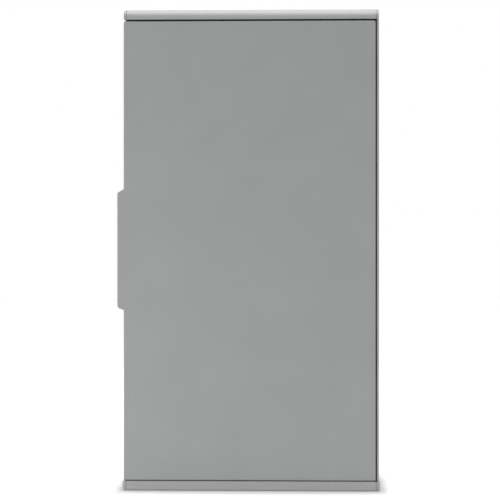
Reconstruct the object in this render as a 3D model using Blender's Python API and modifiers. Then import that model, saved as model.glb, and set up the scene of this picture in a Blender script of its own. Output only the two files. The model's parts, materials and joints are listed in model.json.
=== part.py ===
"""Phone charging kiosk: a wall or counter cabinet with one pull-tab door and three tiers of phone bays.

Metres, +Z up. The origin is the centre of the case's flat underside, the door faces -Y and +X is the
hinge side.
The roof and the base are hollow rails closed by end caps. Two folded walls, a back panel and an inner panel
stand between them. Three box shelves carry the USB boards, and the power parts sit behind the inner panel.
"""

import math

import bmesh
import bpy
from mathutils import Matrix, Vector

# Driving sizes, in metres.
CASE_WIDTH = 0.307
CASE_HEIGHT = 0.579
FIT_GAP = 0.0003  # between pieces that touch
RUNNING_GAP = 0.0005  # between pieces that move past each other

# Roof and base rails.
CAP_HEIGHT = 0.0126  # also the radius of the rounded front
BASE_HEIGHT = 0.0115
BASE_NOSE = 0.0020  # how far the base stands in front of the door
BASE_EDGE_RADIUS = 0.0036
BASE_FLARE = 0.0010  # how far the base's end caps stand out sideways
RAIL_WALL = 0.0020
RAIL_CORNER_RADIUS = 0.0008
RAIL_WEBS = 2
END_CAP_THICKNESS = 0.0030
END_CAP_EDGE = 0.0014
END_PLUG_LENGTH = 0.0080

# Folded walls and panels.
LEFT_SHEET = 0.0020
RIGHT_SHEET = 0.0025
BACK_SHEET = 0.0015
INNER_SHEET = 0.0012
BEND_RADIUS = 0.0032
FRONT_FLANGE = 0.0070
REAR_FLANGE = 0.0120
INNER_FLANGE = 0.0055

# Door.
DOOR_DEPTH = 0.0180
DOOR_TOP_GAP = 0.0018
DOOR_FOOT_GAP = 0.0014
SKIN_FOOT_GAP = 0.0004  # the skin hangs in front of the hinge bush
DOOR_HINGE_GAP = 0.0011
DOOR_REAR_GAP = 0.0020
SKIN_THICKNESS = 0.0020
SKIN_EDGE_RADIUS = 0.0015
SKIN_CORNER_RADIUS = 0.0020
TRAY_SHEET = 0.0010
TRAY_INSET = 0.0008
TAB_REACH = 0.0077
TAB_LENGTH = 0.1458
TAB_TOP_SLOPE = 0.0044
TAB_FOOT_SLOPE = 0.0029
TAB_TOP_RADIUS = 0.0016
TAB_FOOT_RADIUS = 0.0040
STIFFENER_WIDTH = 0.0560
STIFFENER_RISE = 0.0095
STIFFENER_BRIM = 0.0120

# Pivot hinge.
PIN_RADIUS = 0.0015
PIN_HEAD_RADIUS = 0.0028
PIN_HEAD_HEIGHT = 0.0014
PIN_REACH = 0.0075  # into the door
BUSH_WALL = 0.0008
BUSH_FLANGE = 0.0012
BUSH_LENGTH = 0.0050

# Magnet catches.
CATCH_WIDTH = 0.0220
CATCH_HEIGHT = 0.0120
CATCH_DEPTH = 0.0150
CATCH_EDGE = 0.0008
CATCH_FROM_LEFT = 0.0080
CATCH_PLATE = 0.0012
CATCH_PLATE_HEIGHT = 0.0150

# Cam lock, set in the left wall behind the tab.
LOCK_BELOW_TAB = 0.0280
LOCK_HEAD_RADIUS = 0.0105
LOCK_HEAD_HEIGHT = 0.0025
LOCK_HEAD_EDGE = 0.0006
LOCK_BARREL_RADIUS = 0.0090
LOCK_BARREL_LENGTH = 0.0140
LOCK_PLUG_RADIUS = 0.0060
LOCK_NUT_RADIUS = 0.0127
LOCK_NUT_HEIGHT = 0.0030
LOCK_TANG = 0.0060
KEYWAY_WIDTH = 0.0016
KEYWAY_HEIGHT = 0.0076
KEYWAY_DEPTH = 0.0060
CAM_LENGTH = 0.0240
CAM_WIDTH = 0.0120
CAM_SHEET = 0.0020
CAM_SCREW_RADIUS = 0.0015
CAM_SCREW_LENGTH = 0.0060
CAM_SCREW_HEAD = 0.0044
STRIKE_SHEET = 0.0015
STRIKE_HEIGHT = 0.0125
STRIKE_LIP = 0.0135
STRIKE_OVERHANG = 0.0035
STRIKE_FOOT = 0.0180

# Shelves, fascias, cradles.
TIER_NAMES = ("lower", "middle", "upper")
BAYS = 3
BAY_DEPTH = 0.0500  # front of the fascia to the inner panel
SHELF_HEIGHT = 0.0170
SHELF_SHEET = 0.0012
FASCIA_THICKNESS = 0.0025
FASCIA_LIP = 0.0060
FASCIA_CORNER_RADIUS = 0.0020
CRADLE_FLOOR = 0.0020
FIN_THICKNESS = 0.0025
FIN_HEIGHT = 0.0550
FIN_CORNER_RADIUS = 0.0220

# USB boards.
BOARD_THICKNESS = 0.0016
BOARD_DEPTH = 0.0340
BOARD_MARGIN = 0.0120
BOARD_STANDOFF = 0.0024
POST_SIZE = 0.0050
SHELL_WALL = 0.0004
SOCKET_SETBACK = 0.0002  # behind the fascia's front
SOCKET_SPREAD = 0.0130  # from the bay's centre to each socket
SOCKET_MOUTH = 0.0008  # from the shell's front to the tongue
USB_A = (0.0125, 0.0051, 0.0110, 0.0018, 0.0140)  # opening, tongue, depth
USB_C = (0.0086, 0.0026, 0.0066, 0.0008, 0.0090)
PLUG_BLOCK = (0.0120, 0.0100, 0.0070)

# Fan.
FAN_SIZE = 0.0400
FAN_DEPTH = 0.0150
FAN_BORE_RADIUS = 0.0185
FAN_CORNER_RADIUS = 0.0030
FAN_HUB_RADIUS = 0.0105
FAN_HUB_EDGE = 0.0015
FAN_BELOW_ROOF = 0.0560
FAN_SPIDER = 0.0025
FAN_BLADES = 7
BLADE_CHORD = 0.0100
BLADE_THICKNESS = 0.0010
BLADE_PITCH = math.radians(38)
FAN_SLOT_PITCH = 0.0060
FAN_SLOT_WIDTH = 0.0028

# Mains inlet with fuse drawer and rocker switch, mounted behind the right wall.
INLET_ABOVE_BASE = 0.0200
INLET_WIDTH = 0.0290
INLET_RIB = 0.0025  # between the inlet's hollows and round its edge
INLET_RIM = 0.0025
INLET_FLANGE = 0.0030
INLET_BODY_DEPTH = 0.0250
INLET_CORNER_RADIUS = 0.0015
SOCKET_HEIGHT = 0.0165
SOCKET_CHAMFER = 0.0045
SOCKET_DEPTH = 0.0160
BLADE_SECTION = (0.0020, 0.0040)
BLADE_LENGTH = 0.0114
BLADE_SPREAD = 0.0070
EARTH_RISE = 0.0035
DRAWER_HEIGHT = 0.0070
DRAWER_DEPTH = 0.0180
DRAWER_PROUD = 0.0006
FUSE_POCKET = (0.0120, 0.0140, 0.0032)
ROCKER_HOUSING = 0.0185
ROCKER_WIDTH = 0.0150
ROCKER_HALF_HEIGHT = 0.0082
ROCKER_NOSE = 0.0026
ROCKER_PIVOT_DEPTH = 0.0022
ROCKER_TILT = math.radians(8)

# Power supply and leads.
SUPPLY_WIDTH = 0.1150
SUPPLY_DEPTH = 0.0300
SUPPLY_LENGTH = 0.2150
SUPPLY_ABOVE_BASE = 0.1500
SUPPLY_EDGE_RADIUS = 0.0015
TERMINAL_SIZE = (0.1000, 0.0160, 0.0160)
TERMINAL_SLOTS = 5
TERMINAL_SLOT = (0.0100, 0.0040)
LEAD_RADIUS = 0.0025
FAN_LEAD_RADIUS = 0.0012
LEAD_BEND = 0.0060
LEAD_TAIL = 0.0200
LEAD_SPACING = 0.0400  # between the grommets of the three tiers
GROMMET_WALL = 0.0016
GROMMET_FLANGE = 0.0014

# Vents, screws and wall hanging.
VENT_LENGTH = 0.0280
VENT_WIDTH = 0.0030
VENT_PITCH = 0.0080
VENT_COUNT = 5
VENT_LEVELS = (0.1000, 0.4600)
BAY_VENT_LENGTH = 0.0500
BAY_VENT_HEIGHT = 0.0038
BAY_VENT_DROP = 0.0180
SCREW_RADIUS = 0.0015
SCREW_HEAD_RADIUS = 0.0028
SCREW_LENGTH = 0.0060
SCREW_FROM_END = 0.0350
KEYHOLE_RADIUS = 0.0045
KEYHOLE_SLOT_RADIUS = 0.0023
KEYHOLE_RISE = 0.0090
KEYHOLE_SPACING = 0.2000
KEYHOLE_FROM_END = 0.0700
SEAL_WIDTH = 0.0050
SEAL_INSET = 0.0010

ARC_TOLERANCE = 0.00008  # the most that a facet lies inside its arc
ROUND_SIDES = 20
LOCK_SIDES = 40
SHARP_ANGLE = math.radians(35)

# Places that follow from the sizes.
LEFT, RIGHT = -CASE_WIDTH / 2, CASE_WIDTH / 2
CAP_UNDERSIDE = CASE_HEIGHT - CAP_HEIGHT
WALL_FOOT, WALL_HEAD = BASE_HEIGHT + FIT_GAP, CAP_UNDERSIDE - FIT_GAP
EQUIPMENT_DEPTH = INNER_FLANGE + FAN_SIZE + RIGHT_SHEET + 4 * FIT_GAP
LOCK_BEHIND_WALL = LEFT_SHEET + LOCK_NUT_RADIUS + 2 * FIT_GAP
BAYS_BEHIND_LOCK = LOCK_NUT_RADIUS + RUNNING_GAP
CASE_DEPTH = (
    DOOR_DEPTH + DOOR_REAR_GAP + LOCK_BEHIND_WALL + BAYS_BEHIND_LOCK + BAY_DEPTH
    + INNER_SHEET + EQUIPMENT_DEPTH + BACK_SHEET
)
FRONT, BACK = -CASE_DEPTH / 2, CASE_DEPTH / 2
DOOR_BACK = FRONT + DOOR_DEPTH
WALL_FRONT = DOOR_BACK + DOOR_REAR_GAP
WALL_BACK = BACK - BACK_SHEET - FIT_GAP
DOOR_FOOT, DOOR_HEAD = BASE_HEIGHT + DOOR_FOOT_GAP, CAP_UNDERSIDE - DOOR_TOP_GAP
DOOR_RIGHT = RIGHT - RIGHT_SHEET - DOOR_HINGE_GAP
SKIN_BACK = FRONT + SKIN_THICKNESS
TRAY_FRONT = SKIN_BACK + FIT_GAP
TRAY_WEB_BACK = TRAY_FRONT + TRAY_SHEET
INSIDE_LEFT = LEFT + LEFT_SHEET + FIT_GAP
INSIDE_RIGHT = RIGHT - RIGHT_SHEET - FIT_GAP
LOCK_Y = WALL_FRONT + LOCK_BEHIND_WALL
TAB_CENTRE = CASE_HEIGHT / 2
LOCK_Z = TAB_CENTRE - LOCK_BELOW_TAB
FASCIA_FRONT = LOCK_Y + BAYS_BEHIND_LOCK
SHELF_FRONT = FASCIA_FRONT + FASCIA_THICKNESS + FIT_GAP
INNER_FRONT = FASCIA_FRONT + BAY_DEPTH
INNER_BACK = INNER_FRONT + INNER_SHEET
SHELF_BACK = INNER_FRONT - FIT_GAP
TIER_PITCH = (WALL_HEAD - WALL_FOOT) / len(TIER_NAMES)
BAY_WIDTH = (INSIDE_RIGHT - INSIDE_LEFT) / BAYS
EQUIPMENT_FRONT = INNER_FRONT + INNER_FLANGE
EQUIPMENT_MIDDLE = (EQUIPMENT_FRONT + WALL_BACK - RIGHT_SHEET) / 2
BUSH_BORE = PIN_RADIUS + FIT_GAP
BUSH_RADIUS = BUSH_BORE + BUSH_WALL
HINGE_Y = TRAY_WEB_BACK + FIT_GAP + BUSH_RADIUS + FIT_GAP
GROMMET_BORE = LEAD_RADIUS + FIT_GAP
GROMMET_NECK = GROMMET_BORE + GROMMET_WALL
INLET_HEIGHT = SOCKET_HEIGHT + DRAWER_HEIGHT + ROCKER_HOUSING + 4 * INLET_RIB
INLET_FOOT = BASE_HEIGHT + INLET_ABOVE_BASE
INLET_FACE = RIGHT - FIT_GAP


def swing_inset():
    """How far the pivot stands in from the door's hinge edge, so that its front corner clears the wall."""
    side = HINGE_Y - FRONT - SKIN_EDGE_RADIUS
    spare = DOOR_HINGE_GAP - RUNNING_GAP
    return SKIN_EDGE_RADIUS + (side**2 - spare**2) / (2 * spare)


HINGE_X = DOOR_RIGHT - swing_inset()

# Local u, v, w of a prism laid out along each world axis: w is the length.
FRAMES = {
    "x": Matrix(((0, 0, 1, 0), (1, 0, 0, 0), (0, 1, 0, 0), (0, 0, 0, 1))),
    "y": Matrix(((1, 0, 0, 0), (0, 0, -1, 0), (0, 1, 0, 0), (0, 0, 0, 1))),
    "z": Matrix.Identity(4),
    "-z": Matrix.Rotation(math.pi, 4, "X"),
}

# Material: colour, roughness, metallic.
MATERIALS = {
    "door_paint": ((0.335, 0.340, 0.342), 0.42, 0.6),
    "case_paint": ((0.345, 0.350, 0.352), 0.45, 0.5),
    "rail_aluminium": ((0.350, 0.354, 0.357), 0.40, 0.6),
    "end_cap_plastic": ((0.330, 0.332, 0.335), 0.50, 0.0),
    "zinc_steel": ((0.560, 0.560, 0.550), 0.35, 0.9),
    "chrome": ((0.700, 0.700, 0.710), 0.15, 1.0),
    "black_plastic": ((0.022, 0.022, 0.024), 0.50, 0.0),
    "fascia_plastic": ((0.045, 0.047, 0.050), 0.45, 0.0),
    "rubber": ((0.030, 0.030, 0.032), 0.80, 0.0),
    "cradle_rubber": ((0.075, 0.078, 0.082), 0.85, 0.0),
    "nylon": ((0.780, 0.770, 0.730), 0.55, 0.0),
    "circuit_board": ((0.020, 0.140, 0.060), 0.45, 0.0),
    "supply_case": ((0.620, 0.620, 0.600), 0.40, 0.8),
    "terminal_plastic": ((0.020, 0.020, 0.020), 0.45, 0.0),
    "cable_sheath": ((0.018, 0.018, 0.018), 0.60, 0.0),
    "switch_red": ((0.420, 0.030, 0.025), 0.35, 0.0),
}


def clear_scene():
    for obj in list(bpy.data.objects):
        bpy.data.objects.remove(obj, do_unlink=True)


def new_collection(name):
    collection = bpy.data.collections.new(name)
    bpy.context.scene.collection.children.link(collection)
    return collection


def make_material(name):
    colour, roughness, metallic = MATERIALS[name]
    material = bpy.data.materials.get(name) or bpy.data.materials.new(name)
    material.use_nodes = True
    shader = material.node_tree.nodes["Principled BSDF"]
    shader.inputs["Base Color"].default_value = (*colour, 1)
    shader.inputs["Roughness"].default_value = roughness
    shader.inputs["Metallic"].default_value = metallic
    return material


def place(obj, material):
    """Makes obj a part: it goes in the kiosk's collection, with its material and its round faces smooth."""
    for collection in list(obj.users_collection):
        collection.objects.unlink(obj)
    KIOSK.objects.link(obj)
    obj.data.materials.clear()
    obj.data.materials.append(make_material(material))
    obj.data.shade_smooth()
    obj.data.set_sharp_from_angle(angle=SHARP_ANGLE)
    return obj


def as_helper(obj):
    """Makes obj a cutter or a piece to be joined: it is no part itself."""
    for collection in list(obj.users_collection):
        collection.objects.unlink(obj)
    HELPERS.objects.link(obj)
    obj.hide_render = True
    obj.display_type = "WIRE"
    return obj


def on_pivot(obj, pivot):
    """Parents obj to a joint's empty and leaves it where it stands."""
    bpy.context.view_layer.update()
    stands = obj.matrix_world.copy()
    obj.parent = pivot
    obj.matrix_parent_inverse = pivot.matrix_world.inverted()
    obj.matrix_world = stands
    return obj


def new_pivot(name, place_at):
    pivot = bpy.data.objects.new(name, None)
    pivot.location = place_at
    KIOSK.objects.link(pivot)
    bpy.context.view_layer.update()
    return pivot


def mesh_object(name, mesh, matrix=None):
    obj = bpy.data.objects.new(name, mesh)
    obj.matrix_world = matrix or Matrix.Identity(4)
    bpy.context.scene.collection.objects.link(obj)
    return obj


def curve_to_mesh(obj, name):
    """The solid that a curve makes, as a mesh object in the same place, with its caps welded."""
    bpy.context.view_layer.update()
    graph = bpy.context.evaluated_depsgraph_get()
    mesh = bpy.data.meshes.new_from_object(obj.evaluated_get(graph))
    work = bmesh.new()
    work.from_mesh(mesh)
    bmesh.ops.remove_doubles(work, verts=work.verts, dist=1e-6)
    bmesh.ops.recalc_face_normals(work, faces=work.faces)
    work.to_mesh(mesh)
    work.free()
    matrix = obj.matrix_world.copy()
    bpy.data.objects.remove(obj, do_unlink=True)
    return mesh_object(name, mesh, matrix)


def prism(name, loops, axis, low, high):
    """Flat outlines (the first rings the others, or they stand apart) given a length along a world axis."""
    curve = bpy.data.curves.new(name, "CURVE")
    curve.dimensions = "2D"
    curve.fill_mode = "BOTH"
    curve.extrude = (high - low) / 2
    for loop in loops:
        spline = curve.splines.new("POLY")
        spline.points.add(len(loop) - 1)
        for point, (u, v) in zip(spline.points, loop):
            point.co = (u, v, 0, 1)
        spline.use_cyclic_u = True
    outline = bpy.data.objects.new(name, curve)
    middle = (low + high) / 2 * (-1 if axis == "y" else 1)
    outline.matrix_world = FRAMES[axis] @ Matrix.Translation((0, 0, middle))
    bpy.context.scene.collection.objects.link(outline)
    return curve_to_mesh(outline, name)


def box(name, low, high, bevel=0.0):
    """A block between two corners, with its edges rounded if bevel says so."""
    size = Vector(high) - Vector(low)
    mesh = bpy.data.meshes.new(name)
    work = bmesh.new()
    bmesh.ops.create_cube(work, size=1, matrix=Matrix.Diagonal((*size, 1)))
    work.to_mesh(mesh)
    work.free()
    obj = mesh_object(name, mesh, Matrix.Translation((Vector(low) + Vector(high)) / 2))
    if bevel:
        rounding = obj.modifiers.new("rounding", "BEVEL")
        rounding.width = bevel
        rounding.segments = 2
    return obj


def merged(name, pieces):
    """Several pieces that stand apart, as one mesh: a helper that cuts or joins in many places at once."""
    bpy.context.view_layer.update()
    mesh = bpy.data.meshes.new(name)
    work = bmesh.new()
    for piece in pieces:
        piece.data.transform(piece.matrix_world)
        work.from_mesh(piece.data)
        bpy.data.objects.remove(piece, do_unlink=True)
    work.to_mesh(mesh)
    work.free()
    return mesh_object(name, mesh)


def turned(name, profile, axis, centre, ring=False, sides=ROUND_SIDES):
    """A solid of revolution about a world axis through centre. The profile is (radius, height) pairs from the
    top down the outer side. A ring's profile is closed, and any other starts and ends on the axis."""
    mesh = bpy.data.meshes.new(name)
    count = len(profile)
    edges = [(i, i + 1) for i in range(count - 1)]
    if ring:
        edges.append((count - 1, 0))
    mesh.from_pydata([(radius, 0, height) for radius, height in profile], edges, [])
    obj = mesh_object(name, mesh, Matrix.Translation(centre) @ FRAMES[axis])
    screw = obj.modifiers.new("turning", "SCREW")
    screw.steps = screw.render_steps = sides
    screw.use_merge_vertices = True
    screw.merge_threshold = 1e-5
    screw.use_smooth_shade = True
    return obj


def tube(name, corners, bend, radius):
    """A lead: straight runs between corners, with a bend at each."""
    curve = bpy.data.curves.new(name, "CURVE")
    curve.dimensions = "3D"
    curve.bevel_depth = radius
    curve.bevel_resolution = 2
    curve.use_fill_caps = True
    path = [Vector(corners[0])]
    for before, corner, after in zip(corners, corners[1:], corners[2:]):
        path += bent(Vector(before), Vector(corner), Vector(after), bend)
    path.append(Vector(corners[-1]))
    spline = curve.splines.new("POLY")
    spline.points.add(len(path) - 1)
    for point, spot in zip(spline.points, path):
        point.co = (*spot, 1)
    obj = bpy.data.objects.new(name, curve)
    bpy.context.scene.collection.objects.link(obj)
    return curve_to_mesh(obj, name)


def bent(before, corner, after, radius):
    """The points of the arc that rounds a corner between two others, in space."""
    back, ahead = (before - corner).normalized(), (after - corner).normalized()
    inside = back.angle(ahead)
    centre = corner + (back + ahead).normalized() * (radius / math.sin(inside / 2))
    start = corner + back * (radius / math.tan(inside / 2)) - centre
    turn = math.pi - inside
    steps = max(2, math.ceil(turn / (2 * math.acos(1 - ARC_TOLERANCE / radius))))
    axle = ahead.cross(back)
    return [centre + Matrix.Rotation(turn * step / steps, 3, axle) @ start for step in range(steps + 1)]


def round_rim(obj, axis, value, width):
    """Rounds the rim of the flat face that lies at value along a world axis."""
    index = "xyz".index(axis)
    work = bmesh.new()
    work.from_mesh(obj.data)
    work.transform(obj.matrix_world)
    def in_plane(face):
        return all(abs(vert.co[index] - value) < 1e-6 for vert in face.verts)

    on_face = {face for face in work.faces if in_plane(face)}
    inner = [edge for edge in work.edges if on_face.issuperset(edge.link_faces)]
    bmesh.ops.dissolve_edges(work, edges=inner)
    rim = [edge for edge in work.edges if all(abs(vert.co[index] - value) < 1e-6 for vert in edge.verts)]
    bmesh.ops.bevel(work, geom=rim, offset=width, segments=3, profile=0.5, affect="EDGES")
    bmesh.ops.recalc_face_normals(work, faces=work.faces)
    work.transform(obj.matrix_world.inverted())
    work.to_mesh(obj.data)
    work.free()
    return obj


def boolean(obj, other, operation):
    as_helper(other)
    change = obj.modifiers.new(operation.lower(), "BOOLEAN")
    change.operation = operation
    change.solver = "EXACT"
    change.object = other
    return obj


def cut(obj, cutter):
    return boolean(obj, cutter, "DIFFERENCE")


def join(obj, piece):
    return boolean(obj, piece, "UNION")


def rounded(corners):
    """The closed outline through (u, v, radius) corners, each rounded by its radius."""
    flat = [Vector((u, v, 0)) for u, v, _ in corners]
    outline = []
    for index, (_, _, radius) in enumerate(corners):
        corner, after = flat[index], flat[(index + 1) % len(flat)]
        arc = bent(flat[index - 1], corner, after, radius) if radius > 0 else [corner]
        outline += [point for point in arc if not outline or (point - outline[-1]).length > 1e-6]
    return [(point.x, point.y) for point in outline]


def rectangle(u0, v0, u1, v1, radius=0.0):
    return rounded([(u0, v0, radius), (u1, v0, radius), (u1, v1, radius), (u0, v1, radius)])


def circle(u, v, radius, sides=ROUND_SIDES):
    turns = [2 * math.pi * i / sides for i in range(sides)]
    return [(u + radius * math.cos(turn), v + radius * math.sin(turn)) for turn in turns]


def slot(u, v, length, width):
    """A slot with half-octagon ends, its long side along u."""
    radius = width / 2
    reach = length / 2 - radius
    turns = [math.radians(45 * step - 90) for step in range(5)]
    right = [(u + reach + radius * math.cos(turn), v + radius * math.sin(turn)) for turn in turns]
    return [*right, *[(2 * u - x, 2 * v - z) for x, z in right]]


# Rails and end caps.


def cap_outline(corner):
    """The roof's section: a flat underside and a front that is one quarter round."""
    return rounded([
        (BACK, CAP_UNDERSIDE, 0), (BACK, CASE_HEIGHT, corner),
        (FRONT, CASE_HEIGHT, CAP_HEIGHT), (FRONT, CAP_UNDERSIDE, 0),
    ])


def base_outline(corner):
    """The base's section: its nose stands in front of the door and is rounded underneath."""
    nose = FRONT - BASE_NOSE
    return rounded([
        (nose, 0, BASE_EDGE_RADIUS), (BACK, 0, corner), (BACK, BASE_HEIGHT, 0), (nose, BASE_HEIGHT, corner),
    ])


def cavities(front, low, high, nose_radius, inset=0.0):
    """Outlines of the rail's through hollows, smaller all round by inset. The front one follows the nose."""
    start, end = front + RAIL_WALL, BACK - RAIL_WALL
    width = (end - start - RAIL_WEBS * RAIL_WALL) / (RAIL_WEBS + 1)
    floor, ceiling = low + RAIL_WALL + inset, high - RAIL_WALL - inset
    loops = []
    for index in range(RAIL_WEBS + 1):
        near = start + index * (width + RAIL_WALL) + inset
        far = near + width - 2 * inset
        radius = nose_radius if index == 0 else 0
        loops.append(rounded([(near, floor, 0), (far, floor, 0), (far, ceiling, 0), (near, ceiling, radius)]))
    return loops


def cap_cavities(inset=0.0):
    return cavities(FRONT, CAP_UNDERSIDE, CASE_HEIGHT, CAP_HEIGHT - 2.5 * RAIL_WALL, inset)


def base_cavities(inset=0.0):
    return cavities(FRONT - BASE_NOSE, 0, BASE_HEIGHT, 0, inset)


def rail(name, outline, hollows, door_side):
    """A length of rail between its end caps. door_side is the level of the face that holds the hinge pin."""
    start, end = LEFT + END_CAP_THICKNESS + FIT_GAP, RIGHT - END_CAP_THICKNESS - FIT_GAP
    obj = place(prism(name, [outline], "x", start, end), "rail_aluminium")
    cut(obj, prism(name + "_hollows", hollows, "x", start - FIT_GAP, end + FIT_GAP))
    reach = 1.5 * RAIL_WALL
    pin = [circle(HINGE_X, HINGE_Y, BUSH_BORE)]
    hole = prism(name + "_pin_hole", pin, "z", door_side - reach, door_side + reach)
    cut(obj, hole)


def end_cap(name, outline, plugs, side, flare):
    """A moulded cap over a rail's end, with plugs in its hollows. side is -1 for the left, 1 for the right."""
    face = side * (CASE_WIDTH / 2 + flare)
    seat = side * (CASE_WIDTH / 2 - END_CAP_THICKNESS)
    tip = seat - side * END_PLUG_LENGTH
    cap = prism(name, [outline], "x", min(face, seat), max(face, seat))
    round_rim(cap, "x", face, END_CAP_EDGE)
    root = seat + side * END_CAP_THICKNESS / 3
    join(place(cap, "end_cap_plastic"), prism(name + "_plugs", plugs, "x", min(tip, root), max(tip, root)))


def build_rails():
    rail("top_cap", cap_outline(RAIL_CORNER_RADIUS), cap_cavities(), CAP_UNDERSIDE)
    rail("base_rail", base_outline(RAIL_CORNER_RADIUS), base_cavities(), BASE_HEIGHT)
    for word, side in (("left", -1), ("right", 1)):
        end_cap("top_end_cap_" + word, cap_outline(0), cap_cavities(FIT_GAP), side, 0)
        end_cap("base_end_cap_" + word, base_outline(0), base_cavities(FIT_GAP), side, BASE_FLARE)


# Walls and panels.


def vent_slots(name, levels, wall_low, wall_high):
    """Ladders of slots that cut a side wall at the equipment space."""
    loops = [
        slot(EQUIPMENT_MIDDLE, level + index * VENT_PITCH, VENT_LENGTH, VENT_WIDTH)
        for level in levels
        for index in range(VENT_COUNT)
    ]
    return prism(name, loops, "x", wall_low - FIT_GAP, wall_high + FIT_GAP)


def screw_places():
    """x, z of the four countersunk screws that hold the back panel to the walls' rear flanges."""
    inset = REAR_FLANGE * 0.6
    low, high = WALL_FOOT + SCREW_FROM_END, WALL_HEAD - SCREW_FROM_END
    return {
        "lower_left": (LEFT + inset, low), "lower_right": (RIGHT - inset, low),
        "upper_left": (LEFT + inset, high), "upper_right": (RIGHT - inset, high),
    }


def screw_holes(name, words, radius, low, high):
    loops = [circle(*screw_places()[word], radius, 12) for word in words]
    return prism(name, loops, "y", low, high)


def build_left_wall():
    bend = BEND_RADIUS
    inner = bend - LEFT_SHEET
    outline = rounded([
        (LEFT, WALL_FRONT, bend), (LEFT + FRONT_FLANGE, WALL_FRONT, 0),
        (LEFT + FRONT_FLANGE, WALL_FRONT + LEFT_SHEET, 0),
        (LEFT + LEFT_SHEET, WALL_FRONT + LEFT_SHEET, inner),
        (LEFT + LEFT_SHEET, WALL_BACK - LEFT_SHEET, inner), (LEFT + REAR_FLANGE, WALL_BACK - LEFT_SHEET, 0),
        (LEFT + REAR_FLANGE, WALL_BACK, 0), (LEFT, WALL_BACK, bend),
    ])
    wall = place(prism("left_wall", [outline], "z", WALL_FOOT, WALL_HEAD), "case_paint")
    cut(wall, vent_slots("left_vents", VENT_LEVELS, LEFT, LEFT + LEFT_SHEET))
    lock_hole = circle(LOCK_Y, LOCK_Z, LOCK_BARREL_RADIUS + FIT_GAP)
    cut(wall, prism("lock_hole", [lock_hole], "x", LEFT - FIT_GAP, LEFT + LEFT_SHEET + FIT_GAP))
    cut(wall, screw_holes("left_flange_holes", ("lower_left", "upper_left"), SCREW_RADIUS + FIT_GAP,
                          WALL_BACK - LEFT_SHEET - FIT_GAP, WALL_BACK + FIT_GAP))
    return wall


def build_right_wall():
    bend = BEND_RADIUS
    inside = RIGHT - RIGHT_SHEET
    outline = rounded([
        (RIGHT, FRONT, RIGHT_SHEET * 0.45), (RIGHT, WALL_BACK, bend), (RIGHT - REAR_FLANGE, WALL_BACK, 0),
        (RIGHT - REAR_FLANGE, WALL_BACK - RIGHT_SHEET, 0),
        (inside, WALL_BACK - RIGHT_SHEET, bend - RIGHT_SHEET),
        (inside, FRONT, RIGHT_SHEET * 0.45),
    ])
    wall = place(prism("right_wall", [outline], "z", WALL_FOOT, WALL_HEAD), "case_paint")
    cut(wall, vent_slots("right_vents", VENT_LEVELS[:1], inside, RIGHT))
    cut(wall, prism("inlet_window", [inlet_outline(0)], "x", inside - FIT_GAP, RIGHT + FIT_GAP))
    cut(wall, prism("fan_slots", fan_slots(), "x", inside - FIT_GAP, RIGHT + FIT_GAP))
    cut(wall, screw_holes("right_flange_holes", ("lower_right", "upper_right"), SCREW_RADIUS + FIT_GAP,
                          WALL_BACK - RIGHT_SHEET - FIT_GAP, WALL_BACK + FIT_GAP))
    return wall


def keyhole(x, z):
    """A keyhole: a round hole for a screw's head with a narrow slot above it."""
    start = math.asin(KEYHOLE_SLOT_RADIUS / KEYHOLE_RADIUS)
    turns = [start + (2 * math.pi - 2 * start) * step / 12 for step in range(13)]
    hole = [(x - KEYHOLE_RADIUS * math.sin(turn), z + KEYHOLE_RADIUS * math.cos(turn)) for turn in turns]
    turns = [math.pi * step / 6 for step in range(7)]
    top = z + KEYHOLE_RISE
    return hole + [
        (x + KEYHOLE_SLOT_RADIUS * math.cos(turn), top + KEYHOLE_SLOT_RADIUS * math.sin(turn))
        for turn in turns
    ]


def build_back_panel():
    outline = rectangle(LEFT, WALL_FOOT, RIGHT, WALL_HEAD, RAIL_CORNER_RADIUS)
    keyholes = [
        keyhole(side * KEYHOLE_SPACING / 2, level)
        for side in (-1, 1)
        for level in (WALL_FOOT + KEYHOLE_FROM_END, WALL_HEAD - KEYHOLE_FROM_END)
    ]
    panel = place(prism("back_panel", [outline], "y", BACK - BACK_SHEET, BACK), "case_paint")
    cut(panel, prism("keyholes", keyholes, "y", BACK - 2 * BACK_SHEET, BACK + BACK_SHEET))
    shank, head = SCREW_RADIUS + FIT_GAP, SCREW_HEAD_RADIUS + FIT_GAP
    for word, (x, z) in screw_places().items():
        sink = [(0, BACK_SHEET + FIT_GAP), (shank, BACK_SHEET + FIT_GAP), (shank, BACK_SHEET), (head, 0),
                (head, -FIT_GAP), (0, -FIT_GAP)]
        cut(panel, turned("countersink_" + word, sink, "y", (x, BACK, z), sides=12))
        screw = [(0, SCREW_LENGTH), (SCREW_RADIUS, SCREW_LENGTH), (SCREW_RADIUS, BACK_SHEET),
                 (SCREW_HEAD_RADIUS, 0), (0, 0)]
        place(turned("back_screw_" + word, screw, "y", (x, BACK, z), sides=12), "zinc_steel")


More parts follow.
